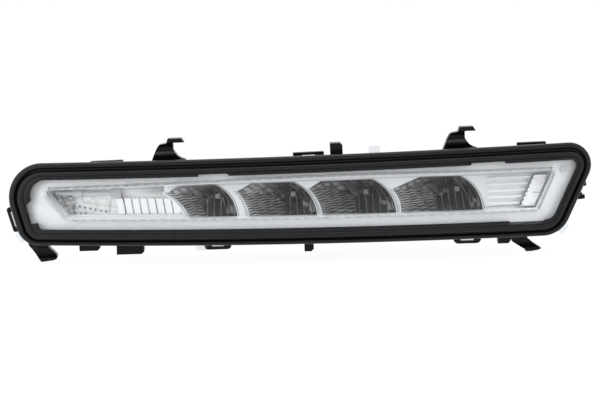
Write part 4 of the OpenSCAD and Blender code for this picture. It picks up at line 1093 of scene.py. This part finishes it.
def lamp_stations():
    """Stations round the seal, each with how far its band is broken; they crowd where a break ends."""
    sides, radii = moved_in(LAMP, 0), lamp_radii(0)
    made = []
    for i in range(4):
        axis = 1 if i in (0, 2) else 0
        a, b = lamp_point((i, 0, False), 0)[axis], lamp_point((i, 1, False), 0)[axis]
        places = list(np.linspace(a, b, max(2, int(abs(b - a) / SEAL_STEP)) + 1))
        for low, high in BAND_GAPS.get(i, []):
            for edge, sign in ((low, 1), (high, -1)):
                places += [edge + sign * d for d in (0, 0.12, 0.3, 0.6, 1.0)]
        places = sorted({round(min(max(p, min(a, b)), max(a, b)), 3) for p in places}, reverse=a > b)
        for p in places:
            broken = 0.0
            for low, high in BAND_GAPS.get(i, []):
                if low < p < high:
                    broken = max(broken, min(ease(p - low, 0, 1.0), ease(high - p, 0, 1.0)))
            made.append(((i, (p - a) / (b - a), False), float(broken)))
        for k in range(1, CORNER_STEPS):
            made.append(((i, k / CORNER_STEPS, True), 0.0))
    return made


def plus(insets, more):
    return [t + more for t in insets]


def between(a, b, share):
    return [p + (q - p) * share for p, q in zip(a, b)]


def seal_section(broken):
    """Section of the seal as (insets, depth): flat band, bead, groove, lip, back and lens seat."""
    band = between(BAND_IN, plus(BEAD_IN, 0.7), broken)
    rise = BAND_RISE
    points = [(band, -0.05), (band, -rise + 0.2), (plus(band, -0.06), -rise + 0.06),
              (plus(band, -0.2), -rise), (plus(BEAD_IN, 0.45), -rise)]
    for k in range(9):
        angle = math.pi * k / 8
        swing = math.copysign(abs(math.cos(angle)) ** 0.8, math.cos(angle))
        side = between(BEAD_OUT, BEAD_IN, 0.5 + 0.5 * swing)
        points.append((side, -rise * 0.6 - (BEAD_RISE - rise * 0.6) * math.sin(angle) ** 0.7))
    points += [(plus(BEAD_OUT, -0.1), 2.5), (plus(BEAD_OUT, -0.3), GROOVE_DEPTH - 0.4),
               (plus(BEAD_OUT, -0.7), GROOVE_DEPTH), (plus(LIP_IN, 0.7), GROOVE_DEPTH),
               (plus(LIP_IN, 0.3), GROOVE_DEPTH - 0.4), (plus(LIP_IN, 0), LIP_DEPTH + 1.1)]
    for k in range(1, 5):
        angle = math.pi / 2 * k / 4
        points.append((plus(LIP_IN, -0.9 * (1 - math.cos(angle))), LIP_DEPTH + 1.1 - 1.1 * math.sin(angle)))
    for k in range(0, 6):
        angle = math.pi / 2 * k / 5
        points.append(([1.8 - 1.8 * math.sin(angle)] * 4, LIP_DEPTH + 2.0 * (1 - math.cos(angle))))
    points += [([0] * 4, LIP_DEPTH + 4.2), ([0.3] * 4, SEAL_BACK - 1.6), ([1.2] * 4, SEAL_BACK),
               ([FOOT_INSET - 0.2] * 4, SEAL_BACK), ([FOOT_INSET - 0.2] * 4, LENS_THICKNESS + 0.05),
               ([LENS_INSET - 0.05] * 4, LENS_THICKNESS + 0.05), ([LENS_INSET - 0.05] * 4, -0.05)]
    return points


rings = []
for station, broken in lamp_stations():
    ring = []
    for inset, depth in seal_section(broken):
        x, z = lamp_point(station, inset)
        ring.append((x, face(x, depth), z))
    rings.append(np.array(ring))
seal_rubber = skin_finish("seal_rubber", (0.006, 0.0068, 0.008), (0.011, 0.012, 0.0135),
                          45, 1300, (0.24, 0.38), 0.00006, Specular_IOR_Level=0.22)
seal = swept("lens_seal", rings, seal_rubber, LENS_SOFT)
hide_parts("edge_seal")


# Sizes and the end.
low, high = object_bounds()
